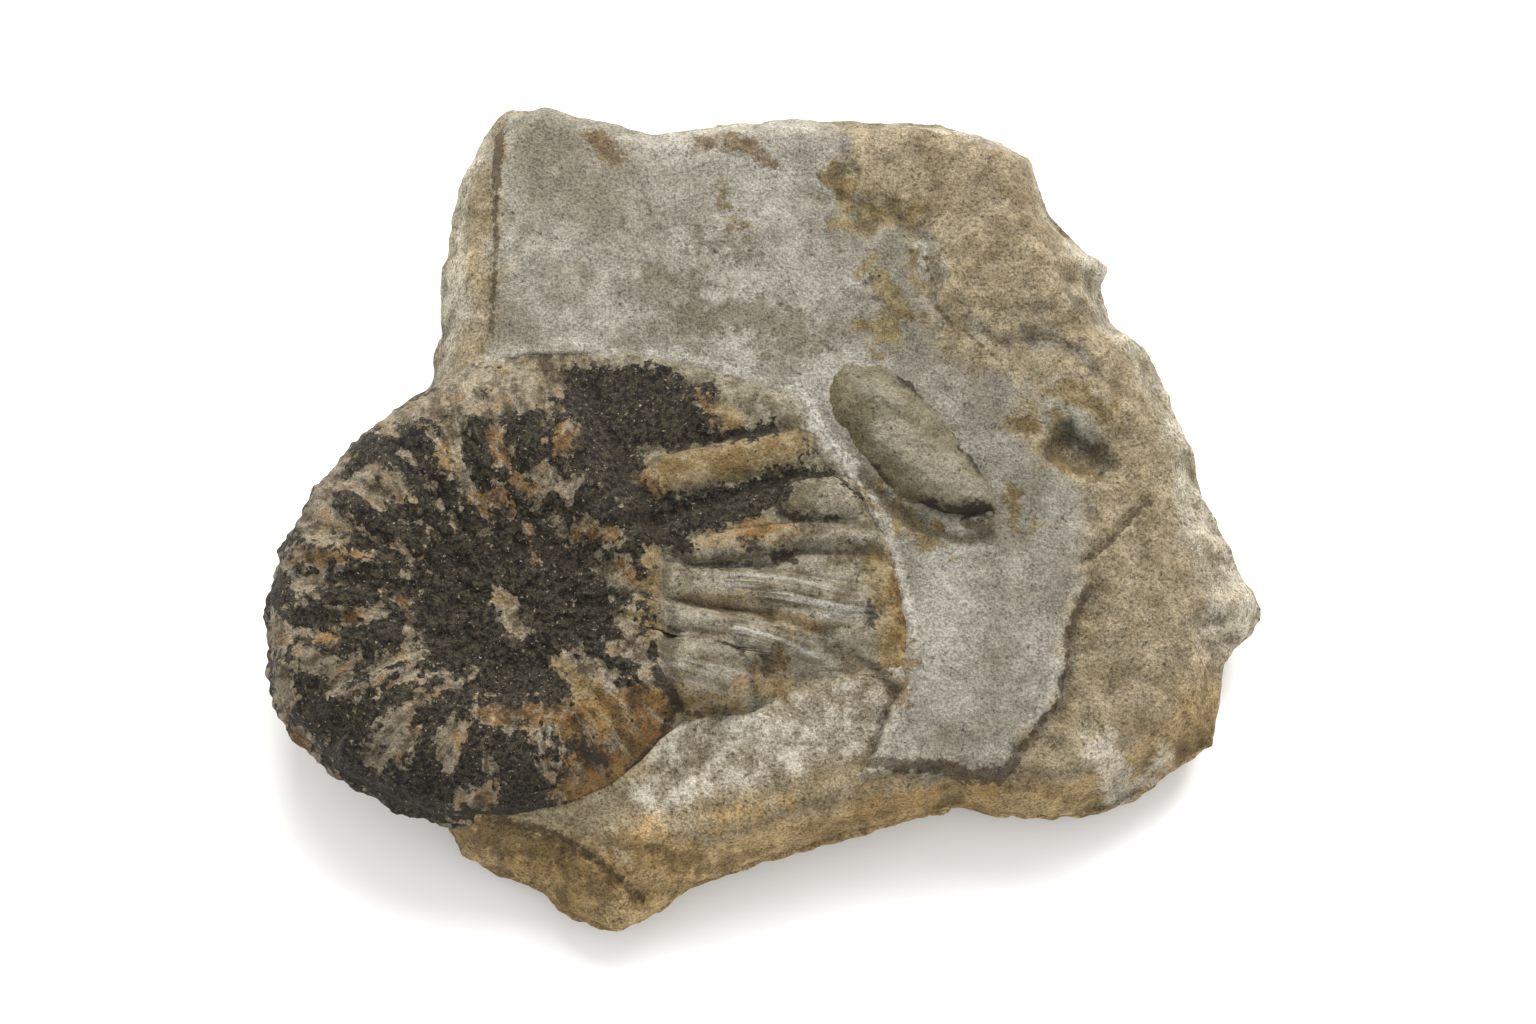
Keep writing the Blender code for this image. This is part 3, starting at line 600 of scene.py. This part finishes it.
# Silky bands of the mould, whose threads run along them and carry a painted sheen: a line, half its width,
# and how clear it is.
SILKY = [
    ([(-3.0, -11.8), (1.9, -12.3), (10.5, -14.0)], 2.3, 1.0),
    ([(-3.2, -17.8), (-0.4, -18.6), (6.4, -21.1)], 1.4, 1.0),
    ([(-10.0, -15.2), (4.0, -16.6)], 3.0, 0.3), ([(-11.0, -21.5), (-3.0, -24.0)], 3.2, 0.35)]
# Painted shadow along the shell's lower edge, where the coil rounds down to the slab and under the chamber's
# nose.
CONTACT_SHADOW = [
    ([(-38.0, -40.2), (-28.0, -40.8), (-20.5, -38.5), (-14.0, -32.0), (-11.0, -27.6)], 0.4),
    ([(-11.0, -27.6), (-8.0, -28.0), (-5.0, -27.8)], 0.25), ([(-12.0, -25.0), (-10.5, -27.6)], 0.6)]
# Marks on the shell as strokes of a line and half its width.
CRUST = [
    ([(-32.8, -15.5), (-30.8, -15.5)], 11.0), ([(-22.3, 13.6), (-13.4, 14.0)], 3.9),
    ([(-21.1, 9.6), (-9.6, 10.9)], 3.4), ([(-24.2, 6.3), (-17.4, 2.0)], 3.7),
    ([(-21.1, -3.0), (-15.9, -4.6)], 2.7), ([(-9.6, 14.2), (-7.5, 14.0)], 1.2),
    ([(-14.5, 7.4), (-8.3, 8.2), (-2.5, 8.4), (0.8, 8.9)], 1.0), ([(-15.9, -2.3), (-10.8, -2.4)], 3.2),
    ([(-14.0, -4.0), (-10.6, -6.2)], 1.6), ([(-10.8, -2.0), (-7.3, -1.7), (-2.7, -0.5)], 2.8),
    ([(-2.7, -0.4), (1.5, 1.3)], 2.1), ([(1.5, 1.8), (4.7, 3.2)], 1.2), ([(4.7, 3.4), (8.3, 3.3)], 0.6),
    ([(8.3, 3.3), (11.1, 1.4), (14.0, -1.8)], 0.3), ([(-58.2, -28.2), (-51.0, -30.6)], 2.3),
    ([(-54.4, -33.0), (-47.0, -36.7), (-41.0, -38.9)], 2.4), ([(-50.4, -24.9), (-45.6, -26.3)], 1.8),
    ([(-43.4, -29.2), (-38.6, -27.0)], 1.9), ([(-43.2, -34.9), (-41.2, -37.2)], 2.4),
    ([(-31.5, -33.4), (-29.5, -38.8)], 3.1), ([(-36.2, -33.6), (-35.4, -36.4)], 1.1),
    ([(-33.5, -27.0), (-27.0, -26.2)], 1.4), ([(-55.1, -11.6), (-49.1, -10.9), (-43.7, -12.2)], 1.3),
    ([(-60.6, -15.1), (-53.7, -16.2)], 1.2), ([(-62.6, -20.8), (-59.4, -20.2)], 1.3),
    ([(-46.6, 3.6), (-44.7, 2.3)], 1.0), ([(-43.5, 0.3), (-42.3, -0.7)], 0.9),
    ([(-47.2, -2.6), (-42.5, -3.2)], 1.0), ([(-33.8, 9.7), (-33.4, 8.9)], 0.8),
    ([(-37.7, 6.5), (-37.0, 5.2)], 1.0), ([(-30.6, 10.3), (-28.7, 10.3)], 0.7),
    ([(-30.6, 4.7), (-28.1, 5.2)], 0.9), ([(-35.7, 2.6), (-32.5, 2.3)], 0.9),
    ([(-51.7, 5.6), (-53.6, 3.0)], 1.0), ([(-14.9, -9.2), (-14.7, -9.6)], 0.9),
    ([(-18.9, -14.2), (-18.3, -14.8)], 0.9), ([(-15.3, -14.6), (-14.9, -17.4)], 0.9),
    ([(-17.9, -22.2), (-17.3, -22.6)], 1.3), ([(-17.9, -26.6), (-17.3, -27.5)], 1.2),
    ([(-41.5, -8.3), (-37.7, -6.3)], 2.3)]
RUSTY = [
    ([(-34.1, 6.9), (-33.2, 3.9)], 1.2), ([(-25.4, 7.9), (-25.4, 5.6)], 1.7),
    ([(-41.0, 5.6), (-40.5, 3.4)], 0.9), ([(-36.4, -0.3), (-33.2, -0.3)], 1.2),
    ([(-31.5, 1.4), (-29.7, 0.7)], 1.0), ([(-23.6, -4.3), (-19.5, -5.6)], 1.3),
    ([(-17.5, -9.3), (-17.0, -10.3)], 0.9), ([(-56.8, -8.5), (-50.2, -8.5)], 0.8),
    ([(-58.1, -18.2), (-54.3, -18.3)], 0.7), ([(-53.0, -16.9), (-51.1, -15.9)], 0.7),
    ([(-30.0, -3.6), (-29.2, -9.6)], 0.5), ([(-35.1, -28.4), (-25.5, -29.2)], 1.6),
    ([(-24.2, -29.7), (-14.0, -27.1)], 2.6), ([(-22.3, -35.0), (-14.7, -31.4)], 2.9),
    ([(-25.5, -38.4), (-18.5, -36.6)], 1.6), ([(17.4, -10.0), (18.0, -16.0), (17.8, -22.8)], 1.0),
    ([(-31.5, -28.9), (-23.5, -28.9)], 0.9), ([(-35.6, -38.6), (-34.8, -39.4)], 0.7),
    ([(-61.0, -17.6), (-54.0, -18.8)], 1.0), ([(-60.5, -28.6), (-58.3, -31.6)], 0.9),
    ([(-59.5, -7.8), (-52.0, -8.8)], 0.9), ([(-50.0, -12.8), (-45.5, -14.0)], 0.6),
    ([(-3.0, -24.4), (1.4, -21.2)], 0.6), ([(-15.6, 2.6), (-14.0, 0.7)], 1.0),
    ([(-2.9, -4.6), (3.2, -4.3)], 0.8), ([(-8.5, 13.6), (-7.5, 11.8)], 0.9),
    ([(-6.8, 10.0), (-6.2, 9.5)], 0.5)]
BARE = [
    ([(-40.5, 11.4), (-30.0, 12.0)], 2.0), ([(-47.2, -30.2), (-42.3, -26.6), (-37.2, -23.2)], 0.8),
    ([(-46.8, -30.8), (-45.4, -30.4)], 1.1), ([(-40.5, -32.2), (-38.6, -33.0)], 0.9),
    ([(-44.9, -34.7), (-44.8, -34.8)], 0.7), ([(-49.6, -34.0), (-48.0, -34.6)], 1.1),
    ([(-38.4, -39.0), (-35.5, -39.0)], 1.2), ([(-61.2, -23.2), (-60.8, -27.5)], 1.2),
    ([(-57.5, -21.5), (-53.5, -23.0)], 1.3), ([(-54.3, -26.0), (-53.2, -26.3)], 1.0),
    ([(-52.1, -26.5), (-44.4, -22.2)], 0.5), ([(-59.4, -31.2), (-54.7, -35.8)], 1.1),
    ([(-44.0, -41.4), (-38.6, -42.0)], 1.3), ([(-34.5, -29.4), (-31.5, -30.4)], 1.3),
    ([(-38.3, 15.3), (-28.1, 15.8)], 3.1), ([(-35.0, 18.0), (-27.5, 18.4)], 1.6),
    ([(-46.6, 10.9), (-41.5, 13.2)], 2.1), ([(-24.2, -21.8), (-20.5, -25.5)], 2.3),
    ([(-20.5, -10.3), (-15.9, -12.5)], 1.6), ([(-16.9, -15.0), (-16.6, -20.5)], 1.4),
    ([(-15.7, -19.5), (-14.8, -24.6)], 1.2), ([(-18.5, -31.4), (-16.5, -30.5)], 1.0),
    ([(-32.8, -13.6), (-31.6, -16.6)], 2.0), ([(-22.0, -31.0), (-19.5, -29.5)], 0.8),
    ([(-18.0, -34.2), (-16.2, -33.0)], 0.6)]
# Ochre stains, and one stroke along the lower edge of the chamber's nose that is painted shade in the ochre
# colour.
OCHRE_AND_SHADE = [
    ([(-12.8, 2.8), (-7.5, 4.2), (-2.7, 5.3), (3.4, 6.6)], 2.2),
    ([(-8.3, -5.9), (-2.5, -4.5), (0.0, -4.2)], 0.9), ([(-7.6, 12.9), (-3.8, 9.6)], 1.0),
    ([(-12.4, -25.2), (-8.8, -27.2), (-3.4, -27.0)], 1.0),
    ([(15.0, -9.0), (16.2, -14.0), (16.4, -20.5)], 1.8), ([(-14.7, -7.6), (-14.2, -18.9)], 0.9),
    ([(-26.2, -21.5), (-21.1, -29.4)], 1.0), ([(-1.0, -24.4), (3.0, -24.6)], 1.0),
    ([(-9.5, -13.6), (-1.8, -14.9), (6.0, -17.2)], 0.4)]
# Dark specks, holes and a seam, and painted shadow in the lower left corner of the nose.
DARK_SPOTS_AND_SHADOW = [
    ([(-2.4, -6.0), (-1.2, -6.4)], 0.5), ([(1.0, -7.6), (3.4, -7.9)], 0.6),
    ([(2.2, -2.0), (4.8, -3.0), (9.0, -2.9)], 0.35), ([(-13.2, -24.4), (-11.6, -27.0)], 0.6),
    ([(-9.6, -9.2), (0.6, -8.7), (4.4, -6.9)], 0.15), ([(-24.0, -33.0), (-20.3, -34.1)], 0.9),
    ([(12.8, -14.0), (13.6, -16.4)], 0.5)]


def reach(bearing):
    """How far the shell's edge is from its centre, with a small point at the end of each rib."""
    plain = np.interp(bearing, *REACH.T)
    return plain + RIB_END * np.interp(bearing, *FREE.T) * ribs(bearing, 1.0)


def ribs(bearing, flank):
    """1 on the crest of each rib and 0 between two. The ribs lean forward towards the keel."""
    turn = np.radians(RIBS * (bearing + RIB_LEAN * flank ** 2))
    return (0.5 + 0.5 * np.cos(turn)) ** 1.3


def silk(points):
    """Where the mould's silky threads run: the place across and along each one, and how clear it is."""
    best, run = np.zeros(len(points)), np.zeros((len(points), 3))
    for number, (line, half_width, strength) in enumerate(SILKY):
        across = points[:, 1] - np.interp(points[:, 0], *np.transpose(line))
        clear = strength * swell(points, line, half_width)
        here = np.c_[across, 0.045 * points[:, 0], np.full(len(points), 9.0 * number)]
        run = np.where((clear > best)[:, None], here, run)
        best = np.maximum(best, clear)
    return run, best


def wound(bearing, out, slope):
    """A place for noise on a narrow cone round the coil, so that its grains are drawn out along the ribs."""
    turned = np.radians(bearing)
    round_by = 22 * np.clip(out / 16, 0, 1)
    return np.c_[np.cos(turned) * round_by, np.sin(turned) * round_by, out * slope]


def crust_depth(points, bearing, out):
    """How deep each point lies in the crust, in millimetres: less than 0 where the stone is bare."""
    coiled = wound(bearing, out, 0.4)
    in_chamber = depth_in(points, CHAMBER)[0]
    patchy = 3.0 * lumps(coiled + 5, 3.0, 5)
    patchy += 1.1 * (ribs(bearing, out / reach(bearing)) - 0.30)
    patchy -= 3 * ramp(in_chamber + 1, 2)
    ragged_by = (1.4 - 0.7 * ramp(in_chamber, 4)) * lumps(coiled + 80, 2.4, 5)
    off = np.maximum.reduce([strokes(points, marks) for marks in (BARE, RUSTY, OCHRE_AND_SHADE)])
    return np.minimum(np.maximum(strokes(points, CRUST) + ragged_by, patchy), 0.3 - off + 0.7 * ragged_by)


def shell_height(points, bearing, out, crusted):
    """Height of the shell over each point: the ribbed coil, and the folded living chamber beside it."""
    level = np.c_[points, np.zeros(len(points))]
    seam = np.interp(bearing, *SEAM.T)
    edge = SHELL_RIM - FREE_DROP * np.interp(bearing, *FREE.T)
    flank = np.clip((out - seam) / (np.interp(bearing, *COIL_REACH.T) - seam), 0, 1)
    coil = SHELL_RIM + COIL_LIFT + FLANK_RISE * np.sin(np.pi * flank ** 0.85) - 0.5 * (1 - flank) ** 6
    coil = edge + (coil - edge) * (1 - (np.clip(flank - SHOULDER, 0, 1) / (1 - SHOULDER)) ** 2.2)
    wear = 0.8 + 0.35 * lumps(level + 70, 9)
    coil += RIB_RISE * wear * ribs(bearing, flank) * np.sin(np.pi * np.clip(flank, 0, 0.98) ** 1.3)
    inner = np.clip(out / seam, 0, 1)
    turns = 0.9 * (1 - inner) + INNER_WHORLS * (1 + np.cos(3 * np.pi * inner))
    turns -= 0.3 * ribs(bearing, inner) * ramp(inner - 0.5, 0.4)
    coil -= np.where(inner < 1, turns, 0)
    coil += 0.42 * lumps(level + 20, 3.2, 4) + 0.22 * lumps(level + 25, 1.3, 3) + crusted
    whole = out / reach(bearing)
    outer = np.clip((whole - 0.3) / 0.7, 0, 1)
    chamber = SHELL_RIM + CHAMBER_LIFT + CHAMBER_SWELL * np.sin(np.pi * outer) ** 0.7
    chamber += np.max([
        rise * np.clip(1 - (to_line(points, line)[0] / half) ** 2, 0, 1) ** 0.65
        for line, half, rise in FOLDS], axis=0)
    for line, half_width, depth in FURROWS:
        chamber -= depth * swell(points, line, half_width)
    run, clear = silk(points)
    chamber += 0.3 * lumps(run / 0.7, 1, 2) * clear + 0.14 * lumps(level + 30, 1.8, 3) + crusted
    part = ramp(depth_in(points, CHAMBER)[0] + 0.8 * lumps(level + 50, 3), 2.6)
    height = coil * (1 - part) + chamber * part
    lap = np.interp(bearing, *LAP.T)
    lapped = (1 - np.interp(bearing, *FREE.T)) * (1 - ramp(inset(points) / lap - 0.5, 1))
    return height + (ground_height(points) - 0.1 - height) * lapped


bpy.ops.object.select_all(action="DESELECT")
rows = UP_FLANK + DOWN_SIDE + 2
bpy.ops.mesh.primitive_grid_add(x_subdivisions=AROUND, y_subdivisions=rows, size=2)
shell = bpy.context.object
shell.name = "ammonite_shell"
sheet_points = places(shell.data) * MM
bearing = FIRST_BEARING + 180 * (sheet_points[:, 0] + 1)
row = np.round((1 - sheet_points[:, 1]) / 2 * rows).astype(int)
turned = np.radians(bearing)
direction = np.c_[np.cos(turned), np.sin(turned)]
free = np.interp(bearing, *FREE.T)
share = np.clip(row / UP_FLANK, 0, 1)
down = np.clip((row - UP_FLANK) / DOWN_SIDE, 0, 1)
rounded = 1 - (1 - EDGE_ROUND) * free * share ** 3
sideways = 1 - (1 - np.interp(down, SIDE[:, 0], SIDE[:, 1])) * free
out = reach(bearing) * np.where(row <= UP_FLANK, share * rounded, sideways)
flat = COIL + direction * out[:, None]
pitted = lumps(np.c_[flat, np.zeros(len(flat))], 1.0, 3)
crusted = (CRUST_THICK + CRUST_ROUGH * pitted) * ramp(crust_depth(flat, bearing, out), 0.8)
top = shell_height(flat, bearing, out, crusted)
height = np.where(row <= UP_FLANK, top, np.interp(down, SIDE[:, 0], SIDE[:, 2]))
rim_height = top[row == UP_FLANK][np.argsort(bearing[row == UP_FLANK])]
rim_bearing = np.sort(bearing[row == UP_FLANK])
over_rim = np.interp(bearing, rim_bearing, rim_height) - SHELL_RIM
height += (row > UP_FLANK) * over_rim * np.clip(1 - 3 * down, 0, 1)
corded = 0.3 * lumps(np.c_[direction * 32, np.zeros(len(flat))], 1.5)
keel = np.exp(-((down - 0.5) / KEEL_WIDE) ** 2) * (KEEL_TALL + corded)
furrows = np.exp(-((np.abs(down - 0.5) - FURROW_OFF) / FURROW_WIDE) ** 2)
side_push = free * (row > UP_FLANK) * (row <= UP_FLANK + DOWN_SIDE) * (keel - 0.5 * furrows)
side_push += 0.35 * free * (row > UP_FLANK) * lumps(np.c_[flat, height], 2.2)
shrink = np.where(row > UP_FLANK + DOWN_SIDE, 0.5 * (rows - row), 1)
flat = COIL + direction * ((out + side_push) * shrink)[:, None]
put(shell.data, np.c_[flat, np.where(row == 0, top[row == 0].mean(), height)])
bpy.ops.object.mode_set(mode="EDIT")
bpy.ops.mesh.select_all(action="SELECT")
bpy.ops.mesh.remove_doubles(threshold=WELD * MM)
bpy.ops.mesh.normals_make_consistent(inside=False)
bpy.ops.object.mode_set(mode="OBJECT")
bpy.ops.object.shade_smooth()

points = places(shell.data)
flat = points[:, :2]
bearing, out = round_coil(flat)
frayed_by = 0.9 * lumps(np.c_[flat, np.zeros(len(flat))] + 33, 2.6, 5)
run, clear = silk(flat)
note(shell.data, "crust", crust_depth(flat, bearing, out))
note(shell.data, "rusty", 0.3 + strokes(flat, RUSTY) + frayed_by)
note(shell.data, "lime", strokes(flat, SEALED))
note(shell.data, "contact_shadow", strokes(flat, CONTACT_SHADOW))
merges = np.interp(bearing, (-8.5, -2, 337, 342, 351.5), (5.0, -4, -4, 2.6, 5.0))
note(shell.data, "lapped", merges - inset(flat))
note(shell.data, "ochre", 0.6 + strokes(flat, OCHRE_AND_SHADE) + frayed_by)
note(shell.data, "spots_and_shadow", strokes(flat, DARK_SPOTS_AND_SHADOW) + 0.4 * frayed_by)
note(shell.data, "mould", depth_in(flat, CHAMBER)[0])
note(shell.data, "silk", run * MM)
note(shell.data, "silky", clear)
note(shell.data, "coil", wound(bearing, out, 0.3) * MM)
# How hollow each point lies, for the painted shade in the shell's hollows; none where the shell merges into
# the slab.
note(shell.data, "hollow", hollowness(shell.data, 5) * (1 - ramp(merges - inset(flat), 3)))

fossil, shader, where = stone("crusted_shell", 0.8)
tree = fossil.node_tree
coil = wire(tree, "Attribute", attribute_name="coil").outputs["Vector"]
streak = speckle(tree, coil, 1.5, 5.0, 0.7)
middle = speckle(tree, where, 3.0, 6.0, 0.72)
fine = speckle(tree, where, 0.7, 4.0, 0.75)
patchwork = times(tree, reckon(tree, "ADD", streak, middle), 0.5)
bare_stone = mottled(tree, patchwork, (92, 79, 57), (186, 174, 150), 0.40, 0.60)
bare_stone = blend(tree, fade(tree, middle, 0.52, 0.61, 0, 0.75), bare_stone, tone(146, 116, 70))
mould = mottled(tree, middle, (108, 98, 73), (170, 162, 141))
lapped = mottled(tree, middle, (134, 121, 96), (182, 173, 152))
ochre = mottled(tree, middle, (131, 106, 62), (168, 149, 110), 0.4, 0.6)
crusty = mottled(tree, fine, (17, 14, 10), (82, 73, 57), 0.40, 0.62)
scuffed = times(tree, fade(tree, streak, 0.56, 0.70), fade(tree, noted(tree, "crust"), 3.5, 0.5))
crusty = blend(tree, times(tree, scuffed, 0.5), crusty, tone(138, 126, 103))
# Painted glints: tiny highlights laid in the crust's colour.
glint = fade(tree, speckle(tree, where, 0.5, 2.0, 0.6), 0.655, 0.70)
crusty = blend(tree, times(tree, glint, 0.8), crusty, tone(176, 166, 146))
rust = mottled(tree, middle, (84, 62, 34), (158, 125, 76), 0.38, 0.62)
reddened = fade(tree, speckle(tree, where, 2.0, 5.0, 0.7), 0.52, 0.64, 0, 0.8)
rust = blend(tree, reddened, rust, tone(150, 104, 56))
rusted = fade(tree, streak, 0.60, 0.50, 0.3, 0.95)
colour = stained(tree, where, bare_stone, "mould", (1.2, 1.4, 2), mould)
colour = stained(tree, where, colour, "lapped", (1.4, 2.0, 2), lapped)
# Ochre stains, with painted shade under the nose.
colour = stained(tree, where, colour, "ochre", (1.6, 1.2, 1.5), ochre, 0.85)
colour = stained(tree, where, colour, "rusty", (1.5, 0.9, 1.2), rust, rusted)
colour = blend(tree, fade(tree, fine, 0.58, 0.67, 0, 0.65), colour, tone(66, 57, 43))
colour = stained(tree, where, colour, "crust", (1.5, 0.5, 1.2), crusty)
# Dark spots, with painted shadow at the nose's corner.
colour = stained(tree, where, colour, "spots_and_shadow", (1.3, 0.6, 1.0), tone(58, 52, 41), 0.9)
# Painted shade in the hollows of the shell.
colour = blend(tree, fade(tree, noted(tree, "hollow"), 0.02, 0.24, 0, 0.55), colour, tone(58, 49, 36))
# Painted sheen: the mould's silky threads are painted lighter along them and darker between them.
run = wire(tree, "Attribute", attribute_name="silk").outputs["Vector"]
thread = speckle(tree, run, 1.0, 3.0, 0.55)
painted_sheen = times(tree, fade(tree, thread, 0.46, 0.64, 0, 0.8), noted(tree, "silky"))
colour = blend(tree, painted_sheen, colour, tone(206, 202, 190))
dull = times(tree, fade(tree, thread, 0.50, 0.36, 0, 0.6), noted(tree, "silky"))
colour = blend(tree, dull, colour, tone(108, 100, 80))
colour = stained(tree, where, colour, "lime", (1.4, 1.6, 1.2), tone(210, 206, 195), 0.65)
# Painted shadow along the shell's lower edge.
colour = stained(tree, where, colour, "contact_shadow", (0.8, 0.7, 1.2), tone(54, 44, 30), 0.8)
shade, height = grained(tree, where, 3.8, 0.35)
height = reckon(tree, "ADD", height, times(tree, times(tree, thread, 0.5), noted(tree, "silky")))
surfaced(tree, shader, colour, shade, height)
shell.data.materials.append(fossil)
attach(shell, "root")
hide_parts("ammonite")

# The second fossil: a length of another shell's whorl, bare grey-brown stone with a rounded back. Its lower
# end is broken open to a dark hollow above a thin lip. It is bedded in the slab beside the ammonite.
PIECE_FOOT = 15.5
PIECE_RIM = 20.0
PIECE_RISE = 2.0
PIECE_SWELL = 1.5
PIECE_ROUND = 5.6
PIECE_GRAIN = 0.2
PIECE_EDGE = np.array([
    (8.0, 11.5), (7.5, 15.0), (9.5, 18.2), (13.5, 18.6), (18.0, 17.0), (22.0, 12.2), (25.2, 7.5),
    (29.2, 1.8), (29.9, -2.4), (28.4, -4.4), (22.5, -3.8), (17.5, -0.6), (12.8, 3.8), (9.8, 8.0)])
# Its hollows, as a line, half its width and how deep it is, and its rib in the same way.
PIECE_HOLLOW = [
    ([(19.8, -1.2), (22.8, -2.4), (28.4, -1.9)], 0.9, 2.6),
    ([(10.5, 9.0), (14.5, 4.4), (18.0, 1.0)], 1.4, 0.5),
    ([(19.4, -2.6), (23.5, -4.0), (28.0, -4.2)], 1.0, 1.0),
    ([(13.5, 12.0), (19.5, 9.2), (24.5, 6.2)], 0.9, 0.3)]
PIECE_RIBS = [([(14.0, 15.0), (19.0, 10.8), (23.0, 6.0), (27.0, 1.6)], 2.2, 0.4)]
PIECE_SHADE = [
    ([(8.8, 12.5), (11.0, 7.5), (15.0, 2.5), (19.0, -1.6)], 2.0), ([(8.8, 15.2), (9.8, 12.0)], 1.6)]
# The first dark stroke is painted shade in the hollow of the broken end; the others are dark lines along the
# edges.
PIECE_DARK = [
    ([(20.0, -1.3), (22.8, -2.4), (28.2, -1.9)], 1.1), ([(17.8, 16.6), (21.5, 12.6), (24.8, 8.2)], 0.2),
    ([(25.0, 6.6), (28.8, 2.6)], 0.3), ([(17.0, 16.4), (20.2, 13.4)], 0.5),
    ([(13.2, 4.6), (15.6, 2.4)], 0.4)]
PIECE_LIGHT = [
    ([(15.5, 8.0), (21.0, 4.2), (26.0, 0.6)], 2.4), ([(12.0, 15.5), (17.0, 13.0)], 1.2),
    ([(21.5, -3.9), (24.5, -4.2), (28.6, -3.9)], 0.5)]
# The broken end runs on in the outline that rounds the back, so that only the long sides slope.
PIECE_ON = np.array((6.0, -6.0))
PIECE_LIP = [([(20.8, -3.6), (24.5, -4.3), (28.8, -4.0)], 0.7)]


def softened(ring, rounds):
    """A closed ring with its corners cut round."""
    for _ in range(rounds):
        after = np.roll(ring, -1, axis=0)
        ring = np.stack([0.75 * ring + 0.25 * after, 0.25 * ring + 0.75 * after], 1).reshape(-1, 2)
    return ring


outline = softened(PIECE_EDGE, 2)
piece = upright("whorl_fragment_stone", outline, PIECE_FOOT, PIECE_RIM, PIECE_GRAIN)
points = places(piece.data)
flat = points[:, :2]
level = np.c_[flat, np.zeros(len(flat))]
running = outline + PIECE_ON * (outline[:, 0] - outline[:, 1] > 26.0)[:, None]
share = np.clip(depth_in(flat, running)[0] / PIECE_ROUND, 0, 1)
ending = np.sqrt(np.clip(depth_in(flat, outline)[0] / 1.6, 0.02, 1))
along = np.clip((flat[:, 0] - flat[:, 1] + 7.5) / 39, 0, 1)
swelling = (PIECE_RISE + PIECE_SWELL * along) * (1 - (1 - share) ** (1.8 + 0.6 * along))
top = ground_height(flat) - 0.2 + swelling * ending
top += 0.3 * lumps(level, 2.4, 4) + 0.12 * lumps(level, 0.8, 3)
for line, half_width, depth in PIECE_HOLLOW:
    top -= depth * swell(flat, line, half_width)
for line, half_width, rise in PIECE_RIBS:
    top += rise * swell(flat, line, half_width)
up = np.clip((points[:, 2] - PIECE_FOOT) / (PIECE_RIM - PIECE_FOOT), 0, 1)
put(piece.data, np.c_[flat, PIECE_FOOT + (top - PIECE_FOOT) * up])
bpy.ops.object.shade_smooth()
points = places(piece.data)
flat = points[:, :2]
for name, marks in (
        ("shade", PIECE_SHADE), ("dark", PIECE_DARK), ("light", PIECE_LIGHT), ("lip", PIECE_LIP)):
    note(piece.data, name, strokes(flat, marks))
# How hollow each point lies, for the painted shade in hollows.
note(piece.data, "hollow", hollowness(piece.data, 5))

worn, shader, where = stone("worn_whorl", 0.88)
tree = worn.node_tree
middle = speckle(tree, where, 3.2, 6.0, 0.7)
fine = speckle(tree, where, 0.7, 4.0, 0.75)
colour = mottled(tree, middle, (115, 107, 82), (150, 142, 119))
colour = stained(tree, where, colour, "light", (2.0, 2.4, 2), tone(167, 159, 139), 0.7)
colour = stained(tree, where, colour, "shade", (2.4, 3.4, 2), tone(112, 101, 74), 0.7)
colour = blend(tree, fade(tree, fine, 0.58, 0.68, 0, 0.55), colour, tone(74, 66, 50))
colour = stained(tree, where, colour, "lip", (0.8, 0.6, 1.4), tone(166, 148, 110), 0.8)
# Painted shade in the hollow of the broken end, and dark edge lines.
colour = stained(tree, where, colour, "dark", (1.0, 0.8, 1.2), tone(56, 52, 44), 0.85)
# Painted shade in the hollows of the second fossil.
colour = blend(tree, fade(tree, noted(tree, "hollow"), 0.02, 0.25, 0, 0.4), colour, tone(66, 58, 43))
surfaced(tree, shader, colour, *grained(tree, where, 3.4, 0.3))
piece.data.materials.append(worn)
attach(piece, "root")
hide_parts("whorl_fragment")

# The table and the light of the photograph: a white sheet under soft daylight that comes from the far
# side, and a camera that looks down on the slab at 75 degrees.
CAMERA_FAR = 554.7
LOOK_AT = np.array((0.4, 1.0, 10.0))
LOOK_DOWN = np.radians(75)
bpy.ops.mesh.primitive_plane_add(size=3.0, location=(0, 0, -0.0001))
sheet = bpy.context.object
sheet.name = "white_sheet"
white = bpy.data.materials.new("white_sheet")
white.use_nodes = True
white.node_tree.nodes["Principled BSDF"].inputs["Base Color"].default_value = (0.95, 0.95, 0.95, 1)
white.node_tree.nodes["Principled BSDF"].inputs["Roughness"].default_value = 0.9
sheet.data.materials.append(white)

world = bpy.data.worlds.new("daylight")
world.use_nodes = True
world.node_tree.nodes["Background"].inputs["Color"].default_value = (1.0, 0.995, 0.985, 1)
world.node_tree.nodes["Background"].inputs["Strength"].default_value = 1.05
bpy.context.scene.world = world

LAMP_AT = np.array((150.0, 620.0, 620.0))
bpy.ops.object.light_add(type="AREA", location=LAMP_AT * MM)
lamp = bpy.context.object
lamp.data.size = 0.7
lamp.data.energy = 15.0
lamp.data.color = (1.0, 0.985, 0.96)
lamp.rotation_euler = Vector(LAMP_AT - LOOK_AT).to_track_quat("Z", "Y").to_euler()

bpy.ops.object.camera_add()
camera = bpy.context.object
camera.data.lens = 100
camera.data.sensor_width = 36
back = np.array((0, -np.cos(LOOK_DOWN), np.sin(LOOK_DOWN)))
camera.location = (LOOK_AT + CAMERA_FAR * back) * MM
camera.rotation_euler = (np.pi / 2 - LOOK_DOWN, 0, 0)
bpy.context.scene.camera = camera
bpy.context.scene.view_settings.view_transform = "Standard"
